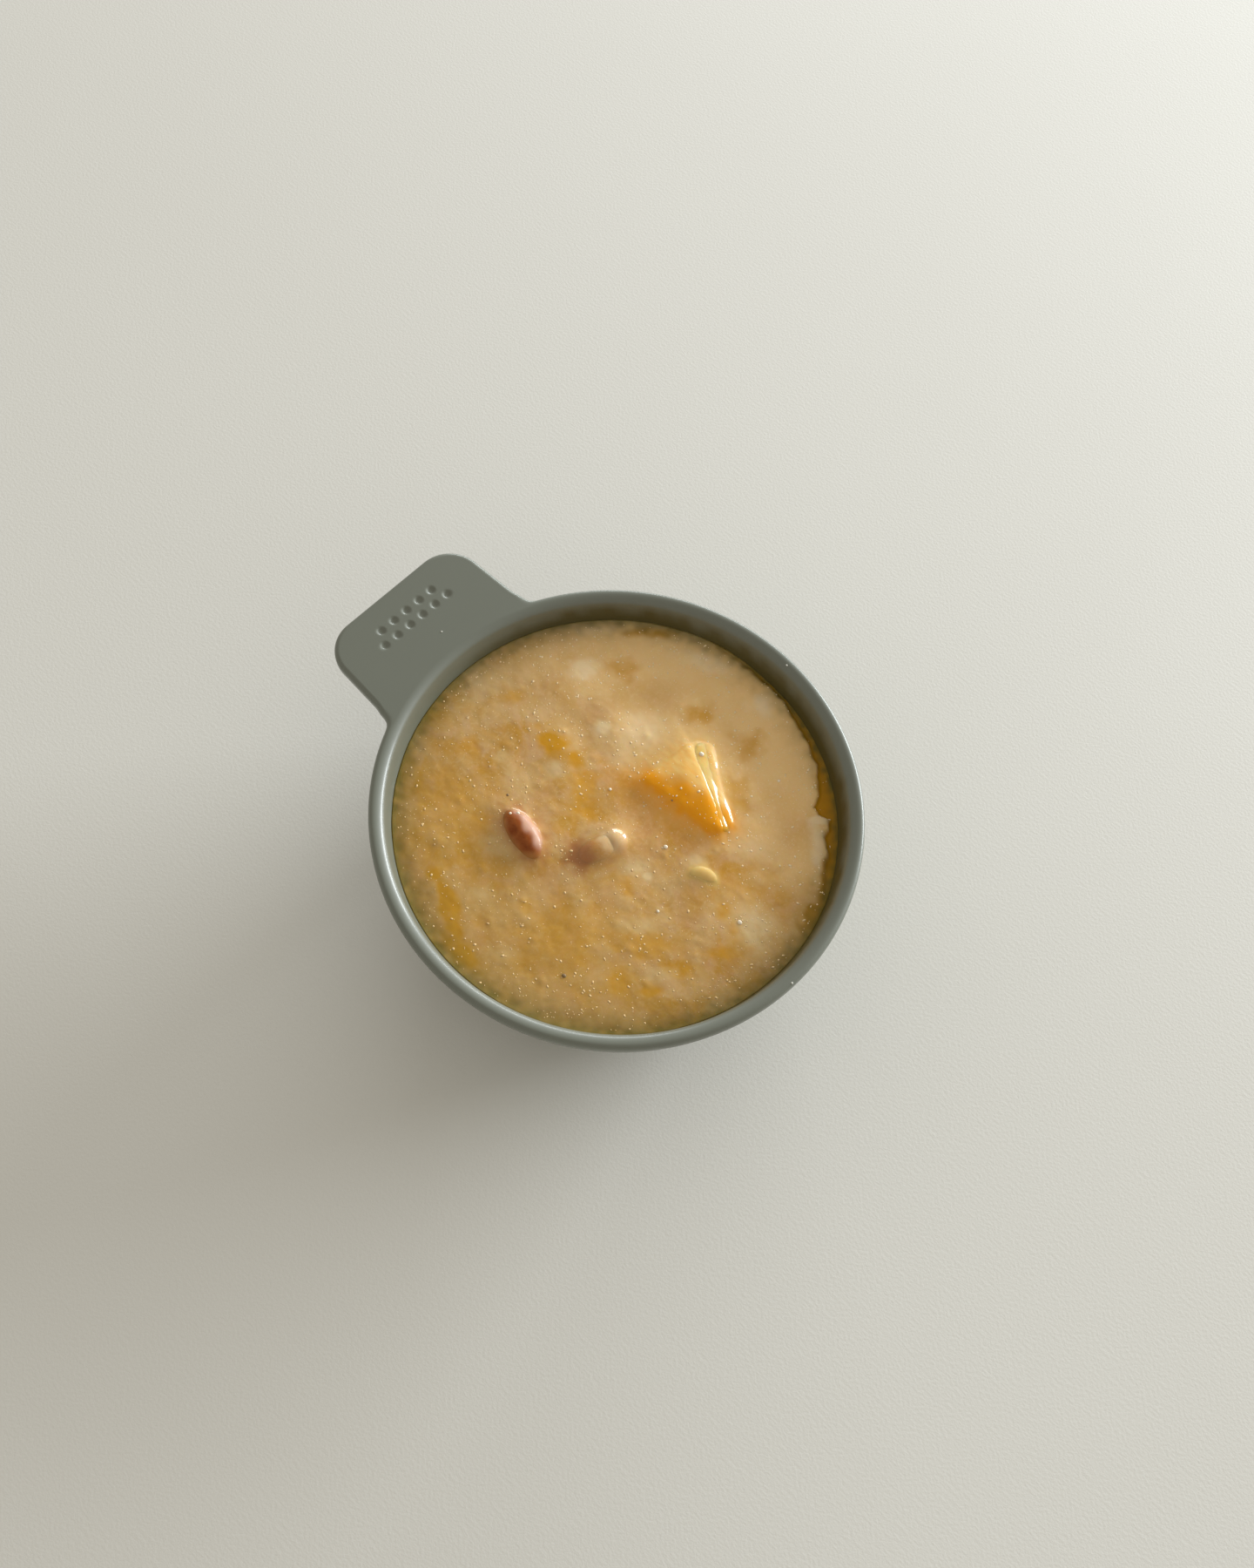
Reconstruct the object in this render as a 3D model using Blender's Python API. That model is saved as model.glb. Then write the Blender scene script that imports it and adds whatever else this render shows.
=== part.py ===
"""A small round bowl with a flat tab handle, filled with pumpkin porridge.

Metres, +Z up, the foot's underside on z = 0, the bowl's axis on the Z axis and
the tab along +X. A chunk of pumpkin, two beans and a pale sliver lie in the porridge.
"""
import bmesh
import bpy
import numpy as np
from math import acos, asin, atan2, cos, hypot, pi, radians, sin
from mathutils import Matrix, geometry

MM = 0.001

# Bowl
RIM_RADIUS = 52.5 * MM
BOWL_HEIGHT = 42.0 * MM
WALL = 3.4 * MM
LIP_SKEW = 0.5
RIM_LEAN = radians(11.0)
SIDE_LEAN = radians(25.0)
SIDE_RADIUS = 120.0 * MM
FOOT_HEIGHT = 1.2 * MM
FOOT_EDGE = 0.5 * MM
FOOT_SPREAD = 0.6 * MM

# Tab handle, flush with the rim
TAB_REACH = 71.8 * MM
TAB_HALF_ROOT = 20.93 * MM
TAB_HALF_TIP = 19.83 * MM
TAB_CORNER = 8.3 * MM
TAB_NECK = 9.0 * MM
TAB_THICKNESS = 3.0 * MM
TAB_EDGE = 1.1 * MM
TAB_BLEND = 3.0 * MM

# Porridge
GAP = 0.3 * MM
LEVEL = 35.3 * MM
GRID = 2.35 * MM
SKIRT_STATIONS = 72
MOAT_DROP = 0.9 * MM
MOAT_START = 43.8 * MM
MOAT_WIDTH = 1.6 * MM
MOAT_MIDDLE = radians(-118.0)
MOAT_HALF_ANGLE = radians(32.0)
WAVE_HEIGHT = 0.12 * MM
LUMP_COUNT = 30
LUMP_RADIUS = 1.15 * MM
LUMP_SHOW = 0.4 * MM
SEED = 7

# Soft rises of the porridge's surface: x, y, height, spread (mm)
RISES = (
    (-8.0, -17.5, 0.9, 8.5),
    (11.0, 17.0, 0.45, 5.5),
    (-3.4, 5.4, 0.8, 3.8),
    (16.1, -14.6, 0.5, 3.4),
    (32.0, -15.0, 0.4, 5.0),
    (-22.0, -3.5, 0.45, 4.5),
    (-34.0, 4.0, 0.35, 4.5),
    (21.0, -3.0, 0.3, 3.6),
    (5.0, -31.0, 0.4, 4.6),
    (-28.0, -27.0, 0.35, 6.0),
    (14.0, 37.0, 0.35, 4.0),
)

# Pumpkin chunk: planes as azimuth, tilt above level (degrees), distance (mm)
CHUNK_CENTRE = (-7.8 * MM, -17.0 * MM, 35.4 * MM)
CHUNK_PLANES = (
    (-122.0, 46.0, 4.0),
    (80.0, 79.0, 2.6),
    (95.0, 34.0, 6.1),
    (-4.0, 62.0, 4.6),
    (158.0, 30.0, 10.4),
    (-52.0, 30.0, 9.6),
    (-110.0, 84.0, 2.5),
    (0.0, -90.0, 4.6),
    (95.0, -22.0, 7.6),
    (-117.5, -22.0, 7.2),
    (0.0, -20.0, 11.0),
    (170.0, -20.0, 12.0),
)
CHUNK_ROUNDING = 11.0

# Beans and sliver: centre, half sizes, bend (mm), heading and roll (degrees)
BEAN_LEFT = dict(centre=(11.2, 17.2, 34.7), half=(6.9, 3.6, 3.2), bend=-0.06, heading=166.5, roll=-14.0)
BEAN_RIGHT = dict(centre=(-2.6, 7.9, 34.1), half=(6.0, 3.5, 3.2), bend=0.09, heading=-107.0, roll=8.0)
SLIVER = dict(centre=(-22.2, -2.8, 35.3), half=(3.7, 1.9, 1.2), bend=0.22, heading=30.0, roll=-12.0)


def clear_scene():
    for item in list(bpy.data.objects):
        bpy.data.objects.remove(item, do_unlink=True)


def material(name, colour, roughness, metallic=0.0):
    mat = bpy.data.materials.new(name)
    mat.use_nodes = True
    shader = next(n for n in mat.node_tree.nodes if n.type == "BSDF_PRINCIPLED")
    shader.inputs["Base Color"].default_value = (*colour, 1.0)
    shader.inputs["Roughness"].default_value = roughness
    shader.inputs["Metallic"].default_value = metallic
    mat.diffuse_color = (*colour, 1.0)
    return mat


def mesh_object(name, points, faces, mat=None):
    mesh = bpy.data.meshes.new(name)
    mesh.from_pydata([tuple(p) for p in points], [], faces)
    bm = bmesh.new()
    bm.from_mesh(mesh)
    bmesh.ops.triangulate(bm, faces=bm.faces)
    bmesh.ops.recalc_face_normals(bm, faces=bm.faces)
    bm.to_mesh(mesh)
    bm.free()
    mesh.shade_smooth()
    item = bpy.data.objects.new(name, mesh)
    bpy.context.collection.objects.link(item)
    if mat:
        mesh.materials.append(mat)
    return item


# The wall's section: a lip, a long side arc, a base arc and a flat floor

HALF = WALL / 2
LIP = (RIM_RADIUS - HALF, BOWL_HEIGHT - HALF)
SIDE_MID = SIDE_RADIUS - HALF
SIDE_CENTRE = (LIP[0] - SIDE_MID * cos(RIM_LEAN), LIP[1] + SIDE_MID * sin(RIM_LEAN))
BASE_MID = (SIDE_CENTRE[1] - SIDE_MID * sin(SIDE_LEAN) - HALF - FOOT_HEIGHT) / (1 - sin(SIDE_LEAN))
BASE_CENTRE = (
    SIDE_CENTRE[0] + (SIDE_MID - BASE_MID) * cos(SIDE_LEAN),
    SIDE_CENTRE[1] - (SIDE_MID - BASE_MID) * sin(SIDE_LEAN),
)


def section(lean, offset):
    """Radius and height on the wall where it leans by lean, offset from its middle."""
    centre, mid = (SIDE_CENTRE, SIDE_MID) if lean <= SIDE_LEAN else (BASE_CENTRE, BASE_MID)
    return centre[0] + (mid + offset) * cos(lean), centre[1] - (mid + offset) * sin(lean)


def lean_at(height, offset):
    return asin((SIDE_CENTRE[1] - height) / (SIDE_MID + offset))


def lip(turn):
    """Radius and height on the lip, whose top lies nearer its outer side than its inner one."""
    skew = LIP_SKEW * sin(turn) ** 2 if turn > 0 else 0.0
    return LIP[0] + HALF * (cos(turn) + skew), LIP[1] + HALF * sin(turn)


def spread(start, stop, count):
    return [start + (stop - start) * i / count for i in range(1, count + 1)]


# The plan's outline: rim circle, neck fillets, sides, rounded corners, end


def arc(centre, radius, start, stop, count):
    turn = [start + (stop - start) * i / count for i in range(count + 1)]
    return [((centre[0] + radius * cos(t), centre[1] + radius * sin(t)), t) for t in turn]


def tab_half_outline():
    """Points and outward normals from the neck to the middle of the tab's end, +Y side."""
    slope = atan2(TAB_HALF_ROOT - TAB_HALF_TIP, TAB_REACH - RIM_RADIUS)
    normal = pi / 2 - slope
    corner = (TAB_REACH - TAB_CORNER, TAB_HALF_TIP - TAB_CORNER)
    side = corner[0] * cos(normal) + corner[1] * sin(normal) + TAB_CORNER
    far = RIM_RADIUS + TAB_NECK
    neck_angle = normal - acos((side + TAB_NECK) / far)
    neck = (far * cos(neck_angle), far * sin(neck_angle))
    points = [(p, t + pi) for p, t in arc(neck, TAB_NECK, neck_angle + pi, normal + pi, 4)]
    ends = points[-1][0], (corner[0] + TAB_CORNER * cos(normal), corner[1] + TAB_CORNER * sin(normal))
    points.append((tuple((a + b) / 2 for a, b in zip(*ends)), normal))
    points += arc(corner, TAB_CORNER, normal, 0.0, 5)
    points += [((TAB_REACH, corner[1] * k / 2), 0.0) for k in (1, 0)]
    return [(p, n % (2 * pi)) for p, n in points], neck_angle


def outline(plain_count):
    """Stations round the plan: polar angle, outline point and outward normal."""
    half, neck_angle = tab_half_outline()
    mirrored = [((p[0], -p[1]), -n) for p, n in half[:-1]]
    rim = [neck_angle + (2 * pi - 2 * neck_angle) * i / plain_count for i in range(1, plain_count)]
    plain = [((RIM_RADIUS * cos(t), RIM_RADIUS * sin(t)), t) for t in rim]
    return [(atan2(p[1], p[0]), p, n) for p, n in half[::-1] + plain + mirrored]


def tab_share(point):
    reach = (hypot(*point) - RIM_RADIUS) / TAB_BLEND
    reach = min(max(reach, 0.0), 1.0)
    return reach * reach * (3 - 2 * reach)


def edge_rows(angle, point, normal):
    """The rows from the lip's top over the outer edge to the wall below it."""
    share = tab_share(point)
    low = BOWL_HEIGHT - TAB_THICKNESS
    root = section(lean_at(low, HALF), HALF)[0]
    turns = [radians(t) for t in (90, 45, 0, -45, -90)]
    tab = []
    for turn in turns:
        inset = TAB_EDGE * (1 - cos(turn))
        top = BOWL_HEIGHT - TAB_EDGE + TAB_EDGE * sin(turn)
        height = top if turn >= 0 else low + TAB_EDGE + TAB_EDGE * sin(turn)
        tab.append((point[0] - inset * cos(normal), point[1] - inset * sin(normal), height))
    under = tab[-1]
    foot = (root * cos(angle), root * sin(angle), low)
    tab.append(tuple((a + b) / 2 for a, b in zip(under, foot)))
    tab.append(foot)
    rows = []
    for target, turn in zip(tab, spread(pi / 2, -RIM_LEAN, len(tab))):
        radius, height = lip(turn)
        plain = (radius * cos(angle), radius * sin(angle), height)
        rows.append(tuple(a + (b - a) * share for a, b in zip(plain, target)))
    return rows


def bowl_column(angle, point, normal):
    """One radial column of points: floor, inside wall, lip, outer edge, outside wall, foot."""
    inside = [(BASE_CENTRE[0] * 0.5, FOOT_HEIGHT + WALL)]
    inside += [section(a, -HALF) for a in [pi / 2] + spread(pi / 2, SIDE_LEAN, 5)]
    inside += [section(a, -HALF) for a in spread(SIDE_LEAN, RIM_LEAN, 3)]
    turns = spread(pi - RIM_LEAN, pi / 2, 4)
    inside += [lip(t) for t in turns]
    start = lean_at(BOWL_HEIGHT - TAB_THICKNESS, HALF)
    start = RIM_LEAN + (start - RIM_LEAN) * tab_share(point)
    outside = [section(a, HALF) for a in spread(start, SIDE_LEAN, 3)]
    outside += [section(a, HALF) for a in spread(SIDE_LEAN, pi / 2, 4)[:-1]]
    rim = BASE_CENTRE[0] + FOOT_SPREAD
    outside += [(rim, FOOT_HEIGHT), (rim, FOOT_EDGE), (rim - FOOT_EDGE, 0.0)]
    turn = (cos(angle), sin(angle))
    column = [(r * turn[0], r * turn[1], z) for r, z in inside]
    column += edge_rows(angle, point, normal)
    return column + [(r * turn[0], r * turn[1], z) for r, z in outside]


def loft(columns, first, last):
    """Joins closed columns into a body with a centre point at either end."""
    count, rows = len(columns), len(columns[0])
    points = [p for column in columns for p in column] + [first, last]
    faces = []
    for i in range(count):
        here, there = i * rows, ((i + 1) % count) * rows
        for j in range(rows - 1):
            faces.append((here + j, there + j, there + j + 1, here + j + 1))
        faces.append((len(points) - 2, there, here))
        faces.append((len(points) - 1, here + rows - 1, there + rows - 1))
    return points, faces


def make_bowl():
    columns = [bowl_column(*station) for station in outline(56)]
    points, faces = loft(columns, (0.0, 0.0, FOOT_HEIGHT + WALL), (0.0, 0.0, 0.0))
    return mesh_object("bowl", points, faces, material("bowl_grey_green", (0.152, 0.163, 0.126), 0.42))


# Porridge


def moat(x, y):
    """How far the surface lies lower beside the wall, on the tab's far right."""
    turn = (np.arctan2(y, x) - MOAT_MIDDLE + pi) % (2 * pi) - pi
    start = MOAT_START + 0.7 * MM * np.sin(turn * 9.0) + 0.5 * MM * np.sin(turn * 17.0 + 1.0)
    across = np.clip((np.hypot(x, y) - start) / MOAT_WIDTH, 0.0, 1.0)
    along = np.clip((MOAT_HALF_ANGLE - np.abs(turn)) / 0.25, 0.0, 1.0)
    return MOAT_DROP * across * across * (3 - 2 * across) * along


def surface(x, y):
    height = LEVEL - moat(x, y)
    for px, py, rise, width in RISES:
        away = ((x - px * MM) ** 2 + (y - py * MM) ** 2) / (width * MM) ** 2
        height = height + rise * MM * np.exp(-away / 2)
    wave = np.sin(x / (2.1 * MM) + 1.3 * np.sin(y / (3.7 * MM)))
    wave = wave + np.sin(y / (2.6 * MM) + 1.1 * np.sin(x / (3.1 * MM)) + 2.0)
    return height + WAVE_HEIGHT * wave / 2 * np.clip(1.2 - np.hypot(x, y) / (47 * MM), 0.0, 1.0)


def porridge_skirt():
    """Columns of points down the porridge's side, a gap inside the bowl's wall."""
    offset = -HALF - GAP
    columns = []
    for i in range(SKIRT_STATIONS):
        angle = 2 * pi * i / SKIRT_STATIONS
        level = LEVEL
        for _ in range(4):
            radius = section(lean_at(level, offset), offset)[0]
            level = float(surface(radius * cos(angle), radius * sin(angle)))
        start = lean_at(level, offset)
        rows = [section(start, offset)]
        rows += [section(a, offset) for a in spread(start, SIDE_LEAN, 2)]
        rows += [section(a, offset) for a in spread(SIDE_LEAN, pi / 2, 4)]
        columns.append([(r * cos(angle), r * sin(angle), z) for r, z in rows])
    return columns


def top_points(ring):
    """A triangular grid inside the ring."""
    edge = hypot(*ring[0][:2]) - 0.75 * GRID
    inner = []
    steps = int(edge / GRID) + 2
    for j in range(-steps, steps + 1):
        for i in range(-steps, steps + 1):
            x = (i + 0.5 * (j % 2)) * GRID
            y = j * GRID * 0.8660254
            if hypot(x, y) < edge:
                inner.append((x, y))
    return inner


def make_porridge():
    columns = porridge_skirt()
    rows = len(columns[0])
    ring = [c[0] for c in columns]
    inner = top_points(ring)
    flat = [p[:2] for p in ring] + inner
    sides = [(i, (i + 1) % len(ring)) for i in range(len(ring))]
    _, _, triangles, *_ = geometry.delaunay_2d_cdt(flat, sides, [], 1, 1e-7)
    points = [p for column in columns for p in column]
    start = len(points)
    points += [(x, y, float(surface(x, y))) for x, y in inner]
    bottom = len(points)
    points.append((0.0, 0.0, columns[0][-1][2]))
    place = [i * rows for i in range(len(ring))] + [start + i for i in range(len(inner))]
    faces = [tuple(place[v] for v in t) for t in triangles]
    for i in range(len(ring)):
        here, there = i * rows, ((i + 1) % len(ring)) * rows
        faces += [(here + j, there + j, there + j + 1, here + j + 1) for j in range(rows - 1)]
        faces.append((bottom, here + rows - 1, there + rows - 1))
    colour = material("porridge_tan", (0.456, 0.266, 0.083), 0.3)
    return mesh_object("porridge", points, faces, colour)


def near_piece(x, y):
    places = [p["centre"] + (p["half"][0] + 2.5,) for p in (BEAN_LEFT, BEAN_RIGHT, SLIVER)]
    places.append((CHUNK_CENTRE[0] / MM, CHUNK_CENTRE[1] / MM, 0.0, 13.5))
    return any(hypot(x - px * MM, y - py * MM) < reach * MM for px, py, _, reach in places)


def add_lumps(porridge):
    """Small soft lumps fused to the surface, spread evenly by the golden angle."""
    random = np.random.default_rng(SEED)
    lumps = bpy.data.collections.new("lumps")
    bpy.context.scene.collection.children.link(lumps)
    placed, index = 0, 0
    while placed < LUMP_COUNT:
        index += 1
        radius = 43.0 * MM * ((index % 47) / 47.0 + 0.01) ** 0.5
        angle = index * 2.39996 + random.uniform(-0.2, 0.2)
        x, y = radius * cos(angle), radius * sin(angle)
        if near_piece(x, y) or float(moat(x, y)) > 0:
            continue
        size = LUMP_RADIUS * random.uniform(0.8, 1.25)
        bm = bmesh.new()
        bmesh.ops.create_icosphere(bm, subdivisions=1, radius=size)
        height = float(surface(x, y)) + LUMP_SHOW * random.uniform(0.8, 1.2) - 0.7 * size
        grow = Matrix.Diagonal((1.0, random.uniform(0.75, 1.0), 0.7, 1.0))
        turn = Matrix.Rotation(random.uniform(0, pi), 4, "Z")
        bm.transform(Matrix.Translation((x, y, height)) @ turn @ grow)
        mesh = bpy.data.meshes.new("lump")
        bm.to_mesh(mesh)
        bm.free()
        lumps.objects.link(bpy.data.objects.new("lump", mesh))
        placed += 1
    boolean(porridge, "UNION", collection=lumps)
    for item in list(lumps.objects):
        bpy.data.objects.remove(item, do_unlink=True)
    bpy.data.collections.remove(lumps)


def boolean(target, operation, other=None, collection=None):
    step = target.modifiers.new("cut", "BOOLEAN")
    step.operation = operation
    step.solver = "EXACT"
    if collection:
        step.operand_type = "COLLECTION"
        step.collection = collection
    else:
        step.object = other
    bpy.context.view_layer.objects.active = target
    bpy.ops.object.modifier_apply(modifier=step.name)


# Pieces in the porridge


def ball_directions(columns, rows):
    """Unit directions column by column, without the poles, which are the ends."""
    out = []
    for i in range(columns):
        turn = 2 * pi * i / columns
        tilt = [pi / 2 - pi * j / rows for j in range(1, rows)]
        out.append([np.array((cos(t) * cos(turn), cos(t) * sin(turn), sin(t))) for t in tilt])
    return out


def ball_body(shape, columns, rows):
    """A closed body whose points are shape(direction)."""
    grid = [[shape(d) for d in column] for column in ball_directions(columns, rows)]
    return loft(grid, shape(np.array((0.0, 0.0, 1.0))), shape(np.array((0.0, 0.0, -1.0))))


def chunk_shape(grow):
    """Rounded polyhedron round the chunk's centre, its planes moved out by grow."""
    normals, reach = [], []
    for azimuth, tilt, away in CHUNK_PLANES:
        a, t = radians(azimuth), radians(tilt)
        normals.append((cos(t) * cos(a), cos(t) * sin(a), sin(t)))
        reach.append(away * MM + grow)
    normals, reach = np.array(normals), np.array(reach)
    centre = np.array(CHUNK_CENTRE)

    def shape(direction):
        pull = np.clip(normals @ direction, 0.0, None) / reach
        radius = np.sum(pull ** CHUNK_ROUNDING) ** (-1.0 / CHUNK_ROUNDING)
        return centre + direction * radius

    return shape


def bean_shape(spec, grow):
    """Bent ellipsoid with its length along its heading."""
    half = np.array(spec["half"]) * MM + grow
    turn = Matrix.Rotation(radians(spec["heading"]), 3, "Z")
    turn = np.array(turn @ Matrix.Rotation(radians(spec["roll"]), 3, "X"))
    centre = np.array(spec["centre"]) * MM

    def shape(direction):
        p = np.array((direction[2], direction[0], direction[1])) * half
        p[1] += spec["bend"] * (p[0] * p[0] / half[0] - half[0] / 3)
        return centre + turn @ p

    return shape


def make_pieces(porridge):
    """Each piece as its own body, with a pocket cut a gap larger round it."""
    beans = material("bean_brown", (0.230, 0.072, 0.028), 0.35)
    dark = material("bean_dark", (0.205, 0.085, 0.045), 0.3)
    orange = material("pumpkin_orange", (0.610, 0.262, 0.035), 0.25)
    pale = material("squash_pale", (0.640, 0.430, 0.150), 0.3)
    pieces = (
        ("pumpkin_chunk", chunk_shape, None, orange, 36, 16),
        ("bean_left", bean_shape, BEAN_LEFT, beans, 18, 12),
        ("bean_right", bean_shape, BEAN_RIGHT, dark, 18, 12),
        ("pale_sliver", bean_shape, SLIVER, pale, 14, 10),
    )
    for name, maker, spec, mat, columns, rows in pieces:
        args = (spec,) if spec else ()
        mesh_object(name, *ball_body(maker(*args, 0.0), columns, rows), mat)
        cutter = mesh_object(name + "_pocket", *ball_body(maker(*args, GAP), columns, rows))
        cutter.hide_render = True
        cutter.display_type = "WIRE"
        boolean(porridge, "DIFFERENCE", other=cutter)
        bpy.data.objects.remove(cutter, do_unlink=True)


def keep_largest_shell(item):
    """Drops loose scraps, keeping the shell with the most faces."""
    bm = bmesh.new()
    bm.from_mesh(item.data)
    left, shells = set(bm.verts), []
    while left:
        group, edge = set(), [left.pop()]
        while edge:
            vert = edge.pop()
            group.add(vert)
            near = [e.other_vert(vert) for e in vert.link_edges]
            fresh = [v for v in near if v in left]
            left.difference_update(fresh)
            edge += fresh
        shells.append(group)
    shells.sort(key=len)
    scraps = [v for group in shells[:-1] for v in group]
    bmesh.ops.delete(bm, geom=scraps, context="VERTS")
    bmesh.ops.triangulate(bm, faces=bm.faces)
    bm.to_mesh(item.data)
    bm.free()
    item.data.shade_smooth()


def main():
    clear_scene()
    make_bowl()
    porridge = make_porridge()
    add_lumps(porridge)
    make_pieces(porridge)
    keep_largest_shell(porridge)
    for item in bpy.data.objects:
        item.data.calc_loop_triangles()
        print(item.name, len(item.data.loop_triangles), "triangles")


main()
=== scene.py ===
"""Looks of a small grey-green bowl of pumpkin porridge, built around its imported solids.

Metres, +Z up. The bowl's axis is the Z axis and its tab lies along +X. Places in the
porridge are given in millimetres, as the driving sizes are.
"""

from math import acos, atan2, cos, hypot, pi, radians, sin

import bmesh
import bpy
import numpy as np
from mathutils import Matrix, Vector


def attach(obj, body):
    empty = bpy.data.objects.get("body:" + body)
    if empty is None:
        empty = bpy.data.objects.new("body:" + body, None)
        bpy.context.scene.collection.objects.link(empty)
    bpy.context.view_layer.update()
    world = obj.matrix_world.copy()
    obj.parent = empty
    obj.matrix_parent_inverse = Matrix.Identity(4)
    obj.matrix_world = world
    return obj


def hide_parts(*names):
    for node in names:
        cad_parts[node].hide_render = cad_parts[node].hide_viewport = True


MM = 0.001

# Bowl: rim, wall section and foot
RIM_RADIUS = 52.5 * MM
BOWL_HEIGHT = 42.0 * MM
WALL = 3.4 * MM
LIP_SKEW = 0.3
RIM_LEAN = radians(11.0)
SIDE_LEAN = radians(25.0)
SIDE_RADIUS = 120.0 * MM
FOOT_HEIGHT = 1.2 * MM
FOOT_EDGE = 0.5 * MM
FOOT_SPREAD = 0.6 * MM

# Tab handle
TAB_REACH = 71.8 * MM
TAB_HALF_ROOT = 20.93 * MM
TAB_HALF_TIP = 19.83 * MM
TAB_CORNER = 8.3 * MM
TAB_NECK = 9.0 * MM
TAB_THICKNESS = 3.0 * MM
TAB_EDGE = 1.1 * MM
TAB_BLEND = 3.0 * MM
DIMPLE_ROWS = ((62.0, 6), (65.2, 5))
DIMPLE_PITCH = 3.7 * MM
DIMPLE_RADIUS = 1.15 * MM
DIMPLE_DEPTH = 0.32 * MM

# Porridge surface
LEVEL = 35.3 * MM
MOAT_DROP = 0.9 * MM
MOAT_START = 43.8 * MM
MOAT_WIDTH = 1.0 * MM
MOAT_MIDDLE = radians(-118.0)
MOAT_HALF_ANGLE = radians(32.0)
LIQUID_HALF_ANGLE = radians(42.0)
# Edge of the skin beside the liquid: azimuth (degrees), radius (mm)
SKIN_EDGE = (
    (-160.0, 46.6), (-151.0, 45.6), (-141.0, 44.7), (-137.5, 45.4), (-135.7, 45.7), (-134.4, 44.0),
    (-132.0, 42.5), (-125.4, 44.4), (-119.0, 45.5), (-112.0, 45.6), (-105.7, 45.9), (-95.0, 46.6),
)
# Raggedness of that edge from two random fields (mm), and the turn over which its ends fade
SKIN_RAGGED = (0.15, 0.10)
MOAT_FADE = 0.25
# Waves: height, length of one radian of each of the two and of what bends it, and the distance
# over which they fade outward
WAVE_HEIGHT = 0.12 * MM
WAVE_LENGTHS = (2.1 * MM, 3.7 * MM, 2.6 * MM, 3.1 * MM)
WAVE_REACH = 47 * MM
# Lumps: number, distance from the axis, turn from one to the next, size, and height shown
LUMP_COUNT = 30
LUMP_REACH = 43.0 * MM
GOLDEN_ANGLE = 2.39996
LUMP_RADIUS = 1.15 * MM
LUMP_SHOW = 0.4 * MM
LUMP_SEED = 7
WALL_OVERLAP = 0.12 * MM
SPECK_COUNT = 2200
SEED = 41

# Soft rises of the surface: x, y, height, spread (mm)
RISES = (
    (-8.0, -17.5, 0.9, 8.5), (11.0, 17.0, 0.45, 5.5), (-3.4, 5.4, 0.8, 3.8),
    (16.1, -14.6, 0.5, 3.4), (32.0, -15.0, 0.4, 5.0), (-22.0, -3.5, 0.45, 4.5),
    (-34.0, 4.0, 0.35, 4.5), (21.0, -3.0, 0.3, 3.6), (5.0, -31.0, 0.4, 4.6),
    (-28.0, -27.0, 0.35, 6.0), (14.0, 37.0, 0.35, 4.0),
)

# Dome over the sunken bean's end: x, y, height of its top, radius, drop there (mm)
DOME = (-3.7, 4.6, 37.25, 2.6, 1.05)
DOME_BLEND = 0.16 * MM

# Patches of colour: x, y, half length, half width (mm), strength, and heading (degrees) where
# it isn't the usual one
PATCH_HEADING = -135.0
ORANGE_PATCHES = (
    (21.6, -2.6, 4.6, 2.4, 0.95, -172), (16.6, -3.4, 3.6, 1.7, 0.65, -172),
    (8.2, 1.9, 2.8, 5.4, 0.5), (10.9, -2.0, 2.3, 2.1, 0.45), (6.6, 41.8, 4.8, 1.4, 0.85, 166),
    (3.8, -30.5, 3.1, 2.5, 0.5), (-8.6, -32.3, 3.5, 2.7, 0.42, -100),
    (-15.1, -22.1, 2.7, 3.9, 0.4), (23.2, -26.4, 3.5, 2.3, 0.4), (17.7, 36.6, 1.7, 1.6, 0.9),
    (12.1, 38.4, 5.4, 1.6, 1.0, 159), (1.2, 44.6, 4.3, 1.9, 0.95, 174),
    (-30.9, -0.4, 1.6, 1.9, 0.5), (-35.4, 1.3, 1.6, 2.7, 0.55), (-36.7, 6.4, 2.7, 1.2, 0.5),
    (-32.5, 15.2, 3.1, 1.7, 0.45), (-31.7, 22.9, 2.3, 1.2, 0.6), (-24.8, 16.7, 4.9, 2.3, 0.35),
    (-25.3, 26.6, 2.7, 2.7, 0.5), (-16.4, 28.8, 2.3, 1.6, 0.3), (-0.7, 28.3, 1.6, 1.6, 0.3),
    (34.9, 11.0, 2.7, 1.9, 0.3), (35.9, 24.1, 1.2, 2.7, 0.4), (29.8, 28.9, 1.9, 2.3, 0.4),
    (36.2, -4.2, 2.7, 1.2, 0.3), (-27.1, -37.4, 1.7, 5.0, 1.0, -143),
    (-40.2, -22.8, 1.7, 2.5, 0.6), (25.7, -37.7, 6.2, 1.2, 0.6),
    (10.3, -47.2, 4.3, 1.2, 0.6, -165), (-12.1, 9.8, 1.6, 2.3, 0.4), (25.9, 23.7, 8.2, 9.7, 0.22),
    (-11.6, 25.1, 11.7, 6.8, 0.18), (-29.9, -6.3, 9.7, 4.9, 0.15),
)
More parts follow.
